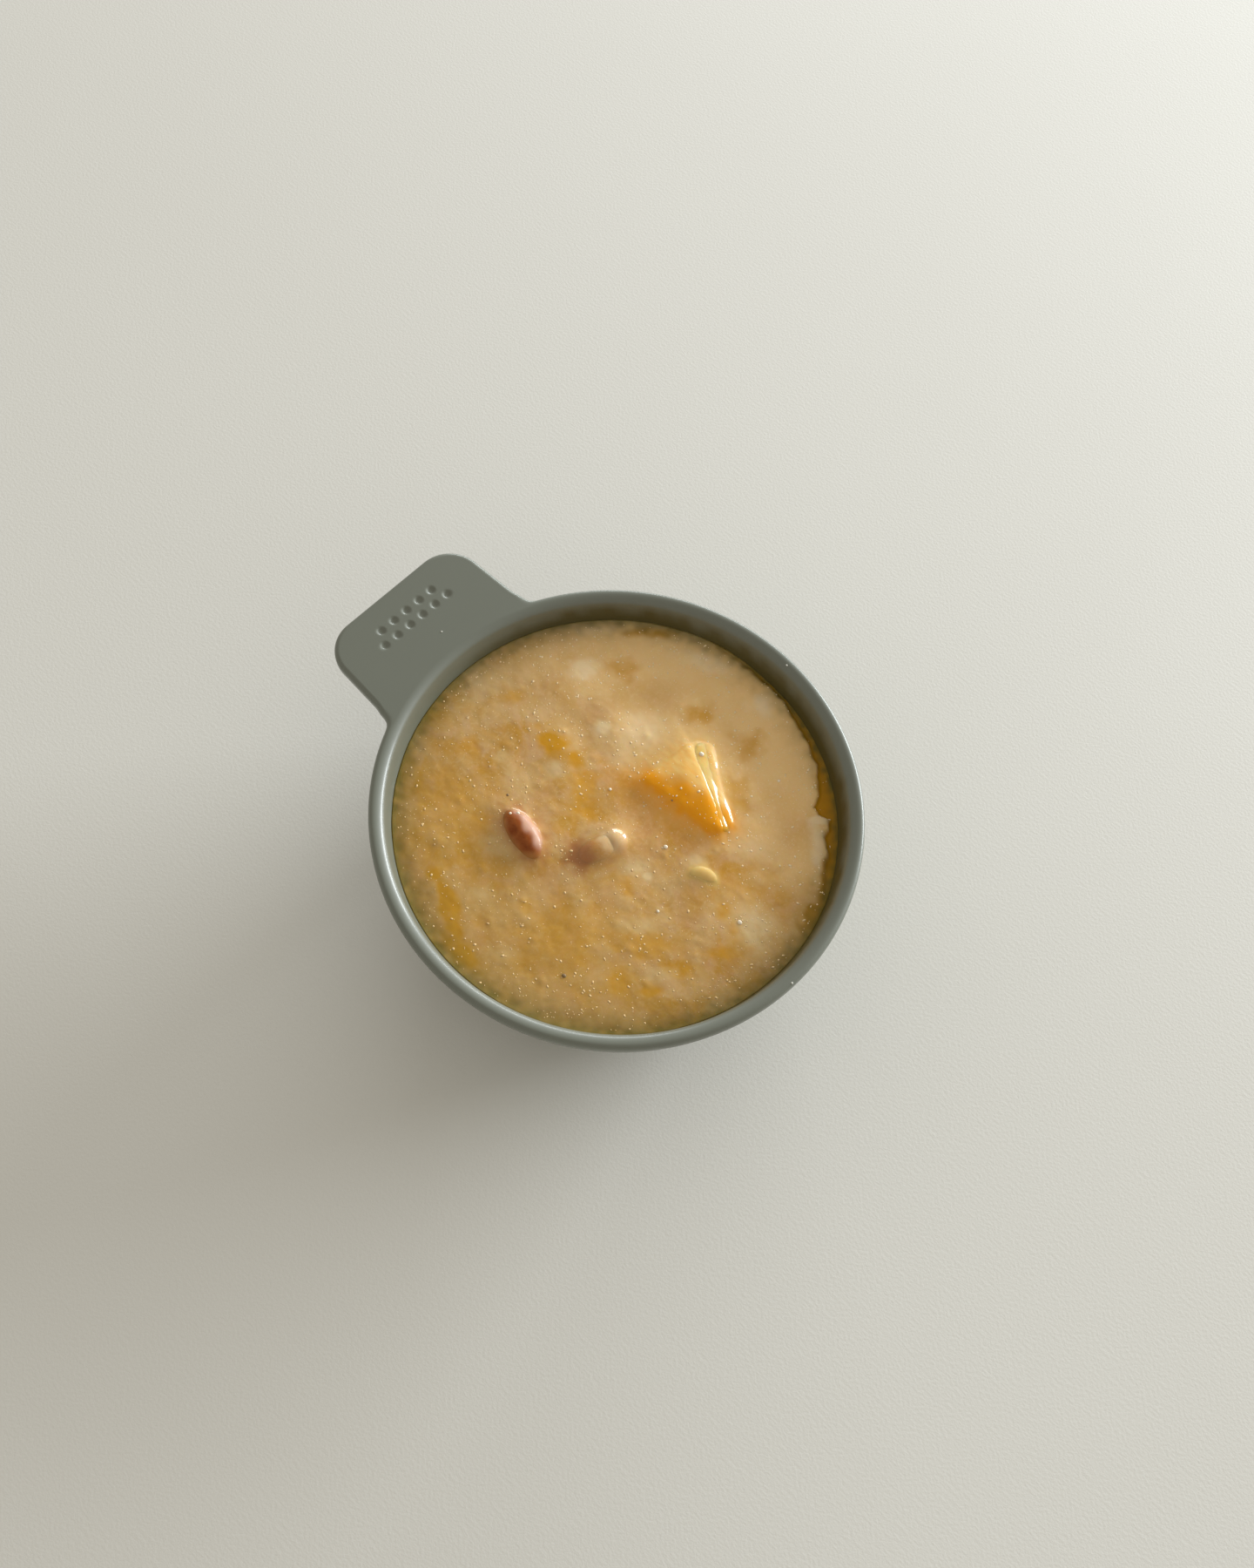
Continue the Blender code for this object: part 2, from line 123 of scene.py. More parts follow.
PALE_PATCHES = (
    (29.8, -19.8, 3.1, 2.3, 0.8), (16.9, -12.6, 1.7, 1.6, 0.95), (16.9, 1.8, 2.3, 1.9, 0.4),
    (27.1, 8.2, 1.6, 1.6, 0.3), (9.6, -18.1, 5.8, 3.9, 0.5, -115),
    (11.3, -41.5, 5.4, 1.9, 0.5, -150), (-3.9, -42.1, 2.3, 2.3, 0.75), (-10.3, 6.1, 3.1, 1.9, 0.5),
    (-14.0, 5.4, 1.0, 0.8, 0.9), (-35.6, -25.2, 5.4, 1.5, 0.9, 138), (-31.5, -30.3, 2.0, 0.9, 0.9),
    (-1.8, 6.6, 1.1, 0.9, 1.0), (-37.6, -1.7, 4.3, 4.3, 0.55), (-19.1, -4.4, 2.3, 1.6, 0.4),
    (12.8, 22.5, 3.5, 2.3, 0.35), (-4.2, 38.9, 2.7, 1.9, 0.3), (-23.6, -13.4, 5.8, 2.7, 0.25),
    (7.8, 32.6, 1.9, 1.6, 0.3), (-19.8, 14.9, 3.9, 1.6, 0.3), (-30.5, 19.7, 2.7, 1.6, 0.35),
    (35.4, -29.3, 5.8, 1.2, 0.3), (8.9, -11.1, 2.3, 3.1, 0.35), (41.4, -2.1, 5.8, 2.7, 0.2, -95),
)

# Painted shadows: dark marks in the liquid beside the wall
PAINTED_SHADOW_MARKS = ((-27.6, -39.0, 2.6, 0.8, 1.0, 148), (-34.4, -33.2, 3.4, 0.5, 0.7, 139))
# Wet beads, near-white partly as a painted glint, dark specks and dust on the bowl: x, y, size (mm)
WET_BEADS_AND_GLINTS = (
    (-12.2, -2.2, 0.50), (-34.8, -0.9, 0.55), (-19.1, -31.0, 0.35), (-3.3, -22.9, 0.60),
    (5.4, -3.4, 0.35), (16.1, 16.2, 0.35), (15.0, 15.0, 0.40), (-20.9, 9.4, 0.35),
)
DARK_SPECKS = ((-16.8, 33.2, 0.50), (20.0, 13.2, 0.32), (-6.2, -10.4, 0.25))
BOWL_DUST = ((55.9, -1.9, 0.22), (-3.0, -50.4, 0.24), (-51.8, 3.3, 0.26))

# Pumpkin chunk: planes as azimuth, tilt above level (degrees), distance (mm)
CHUNK_CENTRE = (-7.8 * MM, -17.0 * MM, 35.4 * MM)
CHUNK_PLANES = (
    (-124.0, 57.5, 3.35), (80.0, 79.0, 2.6), (95.0, 34.0, 6.1), (-4.0, 62.0, 4.6),
    (158.0, 30.0, 10.4), (-52.0, 30.0, 9.6), (-110.0, 84.0, 2.5), (0.0, -90.0, 4.6),
    (95.0, -22.0, 7.6), (-117.5, -22.0, 7.2), (0.0, -20.0, 11.0), (170.0, -20.0, 12.0),
)
CHUNK_ROUNDING = 11.0
CHUNK_SWELL = 1.025
CHUNK_REACH = 9.0 * MM
CHUNK_RELIEF = 0.07
CHUNK_HEADING = radians(152.5)
# Headings towards the photograph's left and towards the chunk's low side
LEFT = radians(44.6)
LOW_SIDE = radians(107.0)

# Beans and sliver: centre, half sizes, bend (mm), heading and roll (degrees), and how deep
# inside its outline a piece begins to be bare and is wholly bare (mm)
BEAN_LEFT = dict(
    centre=(11.2, 17.2, 34.7), half=(6.9, 3.6, 3.2), bend=-0.06, heading=166.5, roll=-14.0,
    bare=(-0.5, 1.1),
)
BEAN_RIGHT = dict(
    centre=(-2.6, 7.9, 34.1), half=(6.0, 3.5, 3.2), bend=0.09, heading=-107.0, roll=8.0,
    bare=(0.5, 2.5),
)
SLIVER = dict(
    centre=(-22.2, -2.8, 35.3), half=(3.7, 1.9, 1.2), bend=0.22, heading=30.0, roll=-12.0,
    bare=(-0.3, 0.8),
)
OVALS = (BEAN_LEFT, BEAN_RIGHT, SLIVER)

# Camera, from the ellipse that the rim draws in the photograph
VIEW_AZIMUTH = radians(-144.41)
VIEW_ELEVATION = radians(66.19)
VIEW_ROLL = radians(8.93)
VIEW_DISTANCE = 331.7 * MM
VIEW_OFFSET = (-1.78 * MM, -4.94 * MM)
VIEW_AIM_HEIGHT = 40.3 * MM
FOCAL_MM = 36.0
SENSOR_MM = 36.0

# Light: a low window to the photograph's upper right, a weaker and broader one beyond its
# upper edge, and the room's own light. Azimuth, distance, width, height, middle height, power.
WINDOWS = (
    (-1.839, 1.788, 1.254, 0.430, 0.437, 48.0),
    (-1.060, 1.916, 1.300, 0.300, 0.412, 16.5),
)
WINDOW_COLOUR = (0.900, 0.950, 0.985)
ROOM_COLOUR = (0.63, 0.596, 0.525)
ROOM_STRENGTH = 0.85
FLOOR_HALF = 3.0


# Smooth random fields over the bowl

FIELD_SPAN = 116.0 * MM
FIELD_CELLS = 768


def random_field(seed, size):
    """A smooth random field whose blobs are about size across, with spread 1."""
    rng = np.random.default_rng(seed)
    wave = np.fft.fftfreq(FIELD_CELLS, FIELD_SPAN / FIELD_CELLS)
    distance = np.hypot(*np.meshgrid(wave, wave)) * size
    keep = np.exp(-distance ** 2 * 2.2) * (1.0 - np.exp(-distance ** 2 * 6.0))
    values = np.fft.ifft2(np.fft.fft2(rng.standard_normal((FIELD_CELLS,) * 2)) * keep).real
    return values / values.std()


def sample(field, x, y):
    """The field's value at places, by bilinear interpolation."""
    u = np.clip((np.asarray(x) / FIELD_SPAN + 0.5) * FIELD_CELLS, 0, FIELD_CELLS - 1.001)
    v = np.clip((np.asarray(y) / FIELD_SPAN + 0.5) * FIELD_CELLS, 0, FIELD_CELLS - 1.001)
    i, j = u.astype(int), v.astype(int)
    i2, j2 = np.minimum(i + 1, FIELD_CELLS - 1), np.minimum(j + 1, FIELD_CELLS - 1)
    a, b = u - i, v - j
    low = field[j, i] * (1 - a) + field[j, i2] * a
    high = field[j2, i] * (1 - a) + field[j2, i2] * a
    return low * (1 - b) + high * b


def step(low, high, value):
    """Smooth step from 0 at low to 1 at high."""
    t = np.clip((value - low) / (high - low), 0.0, 1.0)
    return t * t * (3 - 2 * t)


BROAD = random_field(SEED, 9.0 * MM)
MIDDLE = random_field(SEED + 1, 4.0 * MM)
SMALL = random_field(SEED + 2, 1.9 * MM)
FINE = random_field(SEED + 3, 0.9 * MM)


# Mesh helpers


def mesh_object(name, points, faces, mat, body="root"):
    mesh = bpy.data.meshes.new(name)
    mesh.from_pydata(np.asarray(points).tolist(), [], faces)
    mesh.shade_smooth()
    mesh.materials.append(mat)
    item = bpy.data.objects.new(name, mesh)
    bpy.context.scene.collection.objects.link(item)
    bm = bmesh.new()
    bm.from_mesh(mesh)
    bmesh.ops.recalc_face_normals(bm, faces=bm.faces)
    bm.to_mesh(mesh)
    bm.free()
    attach(item, body)
    return item


def paint(item, name, *channels):
    """Stores up to four masks in a colour attribute, one value for each point."""
    count = len(item.data.vertices)
    values = np.zeros((count, 4), np.float32)
    for k, channel in enumerate(channels):
        values[:, k] = np.clip(channel, 0.0, 1.0)
    layer = item.data.attributes.new(name, "FLOAT_COLOR", "POINT")
    layer.data.foreach_set("color", values.ravel())


def ring_faces(count, rows, start=0):
    """Quads between neighbouring columns of points, closed round."""
    i = np.arange(count)
    here, there = start + i * rows, start + ((i + 1) % count) * rows
    j = np.arange(rows - 1)
    a, b = here[:, None] + j, there[:, None] + j
    return np.stack([a, b, b + 1, a + 1], -1).reshape(-1, 4).tolist()


def loft(columns, first, last):
    """Joins closed columns into a body with a centre point at either end."""
    columns = np.asarray(columns)
    count, rows = columns.shape[:2]
    points = np.vstack([columns.reshape(-1, 3), [first], [last]])
    faces = ring_faces(count, rows)
    for i in range(count):
        here, there = i * rows, ((i + 1) % count) * rows
        faces.append((len(points) - 2, there, here))
        faces.append((len(points) - 1, here + rows - 1, there + rows - 1))
    return points, faces


# The wall's section, as in the solids

HALF = WALL / 2
LIP = (RIM_RADIUS - HALF, BOWL_HEIGHT - HALF)
SIDE_MID = SIDE_RADIUS - HALF
SIDE_CENTRE = (LIP[0] - SIDE_MID * cos(RIM_LEAN), LIP[1] + SIDE_MID * sin(RIM_LEAN))
BASE_MID = (SIDE_CENTRE[1] - SIDE_MID * sin(SIDE_LEAN) - HALF - FOOT_HEIGHT) / (1 - sin(SIDE_LEAN))
BASE_CENTRE = (
    SIDE_CENTRE[0] + (SIDE_MID - BASE_MID) * cos(SIDE_LEAN),
    SIDE_CENTRE[1] - (SIDE_MID - BASE_MID) * sin(SIDE_LEAN),
)


def section(lean, offset):
    """Radius and height on the wall where it leans by lean, offset from its middle."""
    lean = np.asarray(lean, float)
    upper = lean <= SIDE_LEAN
    reach = np.where(upper, SIDE_MID, BASE_MID) + offset
    radius = np.where(upper, SIDE_CENTRE[0], BASE_CENTRE[0]) + reach * np.cos(lean)
    return radius, np.where(upper, SIDE_CENTRE[1], BASE_CENTRE[1]) - reach * np.sin(lean)


def lean_at(height, offset):
    return np.arcsin((SIDE_CENTRE[1] - height) / (SIDE_MID + offset))


def wall_radius(height, offset=-HALF):
    return section(lean_at(height, offset), offset)[0]


def lip(turn):
    """Radius and height on the lip, whose top lies nearer its outer side than its inner one."""
    skew = LIP_SKEW * np.sin(np.maximum(turn, 0.0)) ** 2
    return LIP[0] + HALF * (np.cos(turn) + skew), LIP[1] + HALF * np.sin(turn)


def spread(start, stop, count):
    return np.linspace(start, stop, count + 1)[1:]


# The bowl's plan and its columns of points

# Steps along the plan of the tab's neck, side, corner and half end, and round the plain rim
NECK_STEPS = 16
SIDE_STEPS = 12
CORNER_STEPS = 24
END_STEPS = 44
RIM_STEPS = 230
# Rows of points up a column: on the floor, its curve, the wall inside, the lip inside, the lip's
# or tab's top, each part of its edge, the wall outside, and the foot's edge
FLOOR_ROWS = 4
CURVE_ROWS = 16
WALL_ROWS = 14
LIP_ROWS = 18
TOP_ROWS = 72
EDGE_ROWS = 8
OUTER_ROWS = 12
FOOT_ROWS = 5
# Share of the floor's radius at which the columns start
FLOOR_START = 0.3
# Turns on the lip's outer half where the rows are spaced anew
LIP_TURNS = (pi / 2, radians(60), radians(20), radians(-5), -RIM_LEAN)


def arc(centre, radius, start, stop, count):
    turn = np.linspace(start, stop, count + 1)
    return [((centre[0] + radius * cos(t), centre[1] + radius * sin(t)), t) for t in turn]


def tab_half_outline():
    """Points and outward normals from the neck to the middle of the tab's end, +Y side."""
    slope = atan2(TAB_HALF_ROOT - TAB_HALF_TIP, TAB_REACH - RIM_RADIUS)
    normal = pi / 2 - slope
    corner = (TAB_REACH - TAB_CORNER, TAB_HALF_TIP - TAB_CORNER)
    side = corner[0] * cos(normal) + corner[1] * sin(normal) + TAB_CORNER
    far = RIM_RADIUS + TAB_NECK
    neck_angle = normal - acos((side + TAB_NECK) / far)
    neck = (far * cos(neck_angle), far * sin(neck_angle))
    points = [(p, t + pi) for p, t in arc(neck, TAB_NECK, neck_angle + pi, normal + pi, NECK_STEPS)]
    end = (corner[0] + TAB_CORNER * cos(normal), corner[1] + TAB_CORNER * sin(normal))
    start = points[-1][0]
    for k in range(1, SIDE_STEPS):
        points.append((tuple(a + (b - a) * k / SIDE_STEPS for a, b in zip(start, end)), normal))
    points += arc(corner, TAB_CORNER, normal, 0.0, CORNER_STEPS)
    points += [((TAB_REACH, corner[1] * k / END_STEPS), 0.0) for k in range(END_STEPS - 1, -1, -1)]
    return points, neck_angle


def outline(plain_count):
    """Stations round the plan: polar angle, outline point and outward normal."""
    half, neck_angle = tab_half_outline()
    mirrored = [((p[0], -p[1]), -n) for p, n in half[:-1]]
    rim = np.linspace(neck_angle, 2 * pi - neck_angle, plain_count + 1)[1:-1]
    plain = [((RIM_RADIUS * cos(t), RIM_RADIUS * sin(t)), t) for t in rim]
    return [(atan2(p[1], p[0]), p, n) for p, n in half[::-1] + plain + mirrored]


def dimples(x, y):
    """Depth of the two staggered rows of round grip dimples on the tab."""
    depth = np.zeros_like(x)
    for along, count in DIMPLE_ROWS:
        for k in range(count):
            across = (k - (count - 1) / 2) * DIMPLE_PITCH
            away = np.hypot(x - along * MM, y - across) / DIMPLE_RADIUS
            depth = np.maximum(depth, step(1.0, 0.45, away))
    return DIMPLE_DEPTH * depth


def edge_rows(angle, point, normal):
    """The rows from the lip's top over the outer edge to the wall below it."""
    reach = min(max((hypot(*point) - RIM_RADIUS) / TAB_BLEND, 0.0), 1.0)
    share = reach * reach * (3 - 2 * reach)
    low = BOWL_HEIGHT - TAB_THICKNESS
    root = float(wall_radius(low, HALF))
    crest = float(lip(pi / 2)[0]) * np.array((cos(angle), sin(angle)))
    out = np.array((cos(normal), sin(normal)))
    rim = np.array(point) - TAB_EDGE * out
    top = crest + (rim - crest) * np.linspace(0, 1, TOP_ROWS + 1)[1:, None]
    rows = [np.column_stack([top, BOWL_HEIGHT - dimples(top[:, 0], top[:, 1])])]
    for start, level in ((pi / 2, BOWL_HEIGHT - TAB_EDGE), (0.0, low + TAB_EDGE)):
        turn = spread(start, start - pi / 2, EDGE_ROWS)[:, None]
        edge = rim + TAB_EDGE * np.cos(turn) * out
        rows.append(np.hstack([edge, level + TAB_EDGE * np.sin(turn)]))
    foot = np.array((root * cos(angle), root * sin(angle)))
    under = rim + (foot - rim) * spread(0, 1, EDGE_ROWS)[:, None]
    rows.append(np.column_stack([under, np.full(EDGE_ROWS, low)]))
    tab = np.vstack(rows)
    counts = (TOP_ROWS, EDGE_ROWS, EDGE_ROWS, EDGE_ROWS)
    turn = np.concatenate([spread(*span) for span in zip(LIP_TURNS, LIP_TURNS[1:], counts)])
    plain = turned(*lip(turn), angle)
    return plain + (tab - plain) * share, share


def turned(radius, height, angle):
    return np.column_stack([radius * cos(angle), radius * sin(angle), height])


def bowl_column(angle, point, normal):
    """One radial column of points: floor, inside wall, lip, outer edge, outside wall, foot."""
    floor = BASE_CENTRE[0] * np.linspace(FLOOR_START, 1, FLOOR_ROWS)
    edge, share = edge_rows(angle, point, normal)
    start = float(lean_at(BOWL_HEIGHT - TAB_THICKNESS, HALF))
    start = RIM_LEAN + (start - RIM_LEAN) * share
    turn = np.linspace(0, pi / 2, FOOT_ROWS)
    rim = BASE_CENTRE[0] + FOOT_SPREAD
    foot = rim - FOOT_EDGE * (1 - np.cos(turn))
    return np.vstack([
        turned(floor, np.full(FLOOR_ROWS, FOOT_HEIGHT + WALL), angle),
        turned(*section(spread(pi / 2, SIDE_LEAN, CURVE_ROWS), -HALF), angle),
        turned(*section(spread(SIDE_LEAN, RIM_LEAN, WALL_ROWS), -HALF), angle),
        turned(*lip(spread(pi - RIM_LEAN, pi / 2, LIP_ROWS)), angle),
        edge,
        turned(*section(spread(start, SIDE_LEAN, OUTER_ROWS), HALF), angle),
        turned(*section(spread(SIDE_LEAN, pi / 2, CURVE_ROWS)[:-1], HALF), angle),
        turned(np.array([rim]), np.array([FOOT_HEIGHT]), angle),
        turned(foot, FOOT_EDGE * (1 - np.sin(turn)), angle),
    ])


def make_bowl():
    columns = [bowl_column(*station) for station in outline(RIM_STEPS)]
    points, faces = loft(columns, (0.0, 0.0, FOOT_HEIGHT + WALL), (0.0, 0.0, 0.0))
    bowl = mesh_object("bowl_shell", points, faces, bowl_material())
    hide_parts("bowl")
    paint_bowl(bowl, points)


# The wall's warm film, with painted shade and painted warm reflection of the porridge: its
# raggedness, the turns from the moat's middle between which it gets lower, the heights above the
# level at which it ends and is whole (mm: at its lowest, and more beside the moat, on the wall's
# shaded side), and its share where it is lowest
STAIN_AND_SHADE_RAGGED = 0.5 * MM
STAIN_AND_SHADE_SIDE = (2.4, 1.3)
STAIN_AND_SHADE_TOP = (0.6, 4.8)
STAIN_AND_SHADE_FULL = (0.2, 1.4)
STAIN_AND_SHADE_SHARE = 0.3


def from_moat(azimuth):
    """Turn from the middle of the moat, between minus and plus half a round."""
    return (azimuth - MOAT_MIDDLE + pi) % (2 * pi) - pi


def paint_bowl(bowl, points):
    """The warm film that the porridge leaves on the inside of the wall just above it, partly
    painted shade and painted warm reflection of the porridge, most on the wall's shaded side.
    """
    x, y, z = points.T
    radius = np.hypot(x, y)
    inside = radius < wall_radius(np.minimum(z, BOWL_HEIGHT), 0.0)
    ragged = STAIN_AND_SHADE_RAGGED * sample(MIDDLE, x, y)
    side = step(*STAIN_AND_SHADE_SIDE, np.abs(from_moat(np.arctan2(y, x))))
    top, full = (LEVEL + (low + more * side) * MM for low, more in (STAIN_AND_SHADE_TOP, STAIN_AND_SHADE_FULL))
    film = step(top, full, z + ragged * (0.2 + side))
    share = STAIN_AND_SHADE_SHARE + (1.0 - STAIN_AND_SHADE_SHARE) * side
    paint(bowl, "stain", np.where(inside & (z > LEVEL - WALL), film * share, 0.0))


# How far a place lies outside a piece


def chunk_planes():
    azimuth, tilt, away = np.array(CHUNK_PLANES).T
    a, t = np.radians(azimuth), np.radians(tilt)
    return np.stack([np.cos(t) * np.cos(a), np.cos(t) * np.sin(a), np.sin(t)], 1), away * MM


def chunk_radius(directions):
    normals, reach = chunk_planes()
    pull = np.clip(directions @ normals.T, 0.0, None) / reach
    return CHUNK_SWELL * np.sum(pull ** CHUNK_ROUNDING, -1) ** (-1.0 / CHUNK_ROUNDING)


def outside_chunk(points):
    away = points - np.array(CHUNK_CENTRE)
    distance = np.linalg.norm(away, axis=-1)
    return distance - chunk_radius(away / np.maximum(distance, 1e-9)[..., None])


def from_chunk(x, y, heading):
    """Places along a heading, and across it to its left, from the chunk's centre in mm."""
    dx, dy = x / MM - CHUNK_CENTRE[0] / MM, y / MM - CHUNK_CENTRE[1] / MM
    c, s = cos(heading), sin(heading)
    return dx * c + dy * s, dy * c - dx * s


def chunk_lines(x, y):
    """Places along the chunk's ridge, and across it towards the window."""
    return from_chunk(x, y, CHUNK_HEADING)


def oval_frame(spec):
    """Centre, half sizes and axes of a bean or of the sliver."""
    turn = Matrix.Rotation(radians(spec["heading"]), 3, "Z")
    axes = np.array(turn @ Matrix.Rotation(radians(spec["roll"]), 3, "X"))
    return np.array(spec["centre"]) * MM, np.array(spec["half"]) * MM, axes


def outside_bean(points, spec):
    centre, half, axes = oval_frame(spec)
    local = (points - centre) @ axes
    local[..., 1] -= spec["bend"] * (local[..., 0] ** 2 / half[0] - half[0] / 3)
    return (np.linalg.norm(local / half, axis=-1) - 1.0) * half[1]


# Porridge surface


def moat(x, y):
    """Share of the way down into the lower ring of liquid beside the wall."""
    turn = from_moat(np.arctan2(y, x))
    azimuth, radius = np.array(SKIN_EDGE).T
    start = MM * np.interp(np.degrees(turn + MOAT_MIDDLE), azimuth, radius)
    start = start + MM * sum(
        share * sample(field, x, y) for share, field in zip(SKIN_RAGGED, (MIDDLE, SMALL)))
    across = step(0.0, 1.0, (np.hypot(x, y) - start) / MOAT_WIDTH)
    return across * np.clip((LIQUID_HALF_ANGLE - np.abs(turn)) / MOAT_FADE, 0.0, 1.0)


def rough_surface(x, y):
    """The surface as the solid has it."""
    height = LEVEL - MOAT_DROP * moat(x, y)
    for px, py, rise, width in RISES:
        away = ((x - px * MM) ** 2 + (y - py * MM) ** 2) / (width * MM) ** 2
        height = height + rise * MM * np.exp(-away / 2)
    first, first_bend, second, second_bend = WAVE_LENGTHS
    wave = np.sin(x / first + 1.3 * np.sin(y / first_bend))
    wave = wave + np.sin(y / second + 1.1 * np.sin(x / second_bend) + 2.0)
    return height + WAVE_HEIGHT * wave / 2 * np.clip(1.2 - np.hypot(x, y) / WAVE_REACH, 0.0, 1.0)


# No lump lies within these distances (mm) of an oval piece's end and of the chunk's centre
OVAL_CLEARANCE = 2.5
CHUNK_CLEARANCE = 13.5


def near_piece(x, y):
    places = [p["centre"] + (p["half"][0] + OVAL_CLEARANCE,) for p in OVALS]
    places.append((CHUNK_CENTRE[0] / MM, CHUNK_CENTRE[1] / MM, 0.0, CHUNK_CLEARANCE))
    return any(hypot(x - px * MM, y - py * MM) < reach * MM for px, py, _, reach in places)


def solid_moat(x, y):
    turn = from_moat(atan2(y, x))
    start = MOAT_START + 0.7 * MM * sin(turn * 9.0) + 0.5 * MM * sin(turn * 17.0 + 1.0)
    return hypot(x, y) > start and abs(turn) < MOAT_HALF_ANGLE


def lump_places():
    """The small soft lumps where the solid has them: x, y, size, side share, turn, rise."""
    random = np.random.default_rng(LUMP_SEED)
    lumps, index = [], 0
    while len(lumps) < LUMP_COUNT:
        index += 1
        radius = LUMP_REACH * ((index % 47) / 47.0 + 0.01) ** 0.5
        angle = index * GOLDEN_ANGLE + random.uniform(-0.2, 0.2)
        x, y = radius * cos(angle), radius * sin(angle)
        if near_piece(x, y) or solid_moat(x, y):
            continue
        size = LUMP_RADIUS * random.uniform(0.8, 1.25)
        rise = LUMP_SHOW * random.uniform(0.8, 1.2)
        side = random.uniform(0.75, 1.0)
        lumps.append((x, y, size, side, random.uniform(0, pi), rise))
    return lumps


LUMPS = lump_places()


def lump_height(x, y):
    height = np.zeros_like(x)
    for px, py, size, side, turn, rise in LUMPS:
        dx, dy = x - px, y - py
        u = dx * cos(turn) + dy * sin(turn)
        v = -dx * sin(turn) + dy * cos(turn)
        away = (u / size) ** 2 + (v / (size * side)) ** 2
        height = height + rise * np.exp(-away * 1.6)
    return height


def plain_height(x, y):
    """The surface away from the pieces: the solid's, with lumps and very fine relief."""
    x, y = np.asarray(x, float), np.asarray(y, float)
    height = rough_surface(x, y) + LUMP_SHARE * lump_height(x, y)
    calm = MM * (1.0 - 0.8 * moat(x, y))
    return height + calm * sum(size * sample(field, x, y) for size, field in RELIEF)


def near_pieces(x, y):
    """How far each place on the surface lies outside the chunk, the beans and the sliver, in mm."""
    points = np.stack([x, y, rough_surface(x, y)], -1)
    away = [outside_chunk(points)] + [outside_bean(points, spec) for spec in OVALS]
    return [distance / MM for distance in away]


def smooth_max(first, second, blend):
    """The higher of two surfaces, with a soft join of size blend."""
    return first + blend * np.log1p(np.exp(np.clip((second - first) / blend, -30.0, 30.0)))


def with_dome(height, x, y):
    """The surface with the smooth wet dome at the sunken bean's end."""
    px, py, top, radius, drop = DOME
    away = np.hypot(x - px * MM, y - py * MM) / (radius * MM)
    return smooth_max(height, (top - drop * away ** 2) * MM, DOME_BLEND)


def chunk_top(x, y):
    """Height of the chunk's upper side at each place, found by halving."""
    low = np.full(np.shape(x), CHUNK_CENTRE[2])
    high = low + CHUNK_REACH
    for _ in range(HALVINGS):
        middle = (low + high) / 2
        within = outside_chunk(np.stack([x, y, middle], -1)) < 0
        low, high = np.where(within, middle, low), np.where(within, high, middle)
    return low


def chunk_cover(x, y, away):
    """The film over the chunk's covered side, which sinks into it beyond the ridge."""
    across = chunk_lines(x, y)[1]
    drop = COVER_DROP * step(*COVER_DROP_SPAN, across) + COVER_FALL * step(*COVER_FALL_SPAN, across)
    drop = drop + np.maximum(away, 0.0)
    cover = COVER_DEPTH + CHUNK_RELIEF * sample(MIDDLE, x, y) - drop
    return chunk_top(x, y) + MM * cover


def porridge_height(x, y):
    """The full surface, which creeps up the wall and the pieces as a thin film."""
    height = plain_height(x, y)
    edge = wall_radius(LEVEL) - np.hypot(x, y)
    height = height + WALL_FILM * np.exp(-np.maximum(edge, 0.0) / WALL_FILM_REACH)
    covered = step(*COVERED_SPAN, chunk_lines(x, y)[1])
    for k, (away, (lift, width, depth, slope)) in enumerate(zip(near_pieces(x, y), FILMS)):
        climb = 1.0 + FILM_CLIMB * covered if k == 0 else 1.0
        outside = lift * climb * np.exp(-np.maximum(away, 0.0) / (width * climb))
        inside = depth * (1.0 - np.exp(slope * climb * np.minimum(away, 0.0) / depth))
        height = height + MM * (outside + inside)
        if k == 0:
            height = smooth_max(height, chunk_cover(x, y, away), COVER_BLEND)
    return with_dome(height, x, y)


def patches(rows, x, y):
    """The strongest of several soft, ragged oval patches at each place."""
    ragged = PATCH_RAGGED[0] * sample(MIDDLE, x, y) + PATCH_RAGGED[1] * sample(SMALL, x, y)
    total = np.zeros_like(x)
    for px, py, length, width, strength, *heading in rows:
        dx, dy = x - px * MM, y - py * MM
        h = radians(heading[0] if heading else PATCH_HEADING)
        u = (dx * cos(h) + dy * sin(h)) / (length * MM)
        v = (-dx * sin(h) + dy * cos(h)) / (width * MM)
        total = np.maximum(total, strength ** 0.7 * step(*PATCH_EDGE, np.hypot(u, v) + ragged))
    return total


def disc_grid(count):
    """A square grid bent onto the unit disc."""
    line = np.linspace(-1, 1, count + 1)
    a, b = np.meshgrid(line, line)
    wide = np.abs(a) > np.abs(b)
    small = np.where(wide, b, a)
    large = np.where(wide, a, b)
    turn = np.divide(small, large, out=np.zeros_like(a), where=large != 0) * pi / 4
    turn = np.where(wide, turn, pi / 2 - turn)
    return (large * np.cos(turn)).ravel(), (large * np.sin(turn)).ravel()


def grid_rim(count):
    """Indices of the grid's outer points, in order round it."""
    n = count + 1
    index = np.arange(n * n).reshape(n, n)
    return np.concatenate([index[0, :-1], index[:-1, -1], index[-1, :0:-1], index[:0:-1, 0]])


PORRIDGE_GRID = 270
SKIRT_ROWS = 6

# Patches: raggedness from two random fields, and where their edge fades, in half sizes
PATCH_RAGGED = (0.16, 0.10)
PATCH_EDGE = (1.75, 0.25)

# Painted shade beside the wall, over the thin edge's own darker colour: strength and reach (mm)
EDGE_SHADE = 0.88
EDGE_REACH = 3.1
# Fine relief of the surface: height (mm) of each random field
RELIEF = ((0.026, MIDDLE), (0.014, SMALL), (0.008, FINE))
LUMP_SHARE = 0.35
# Film that creeps up the wall: its lift and reach
WALL_FILM = 0.35 * MM
WALL_FILM_REACH = 0.6 * MM
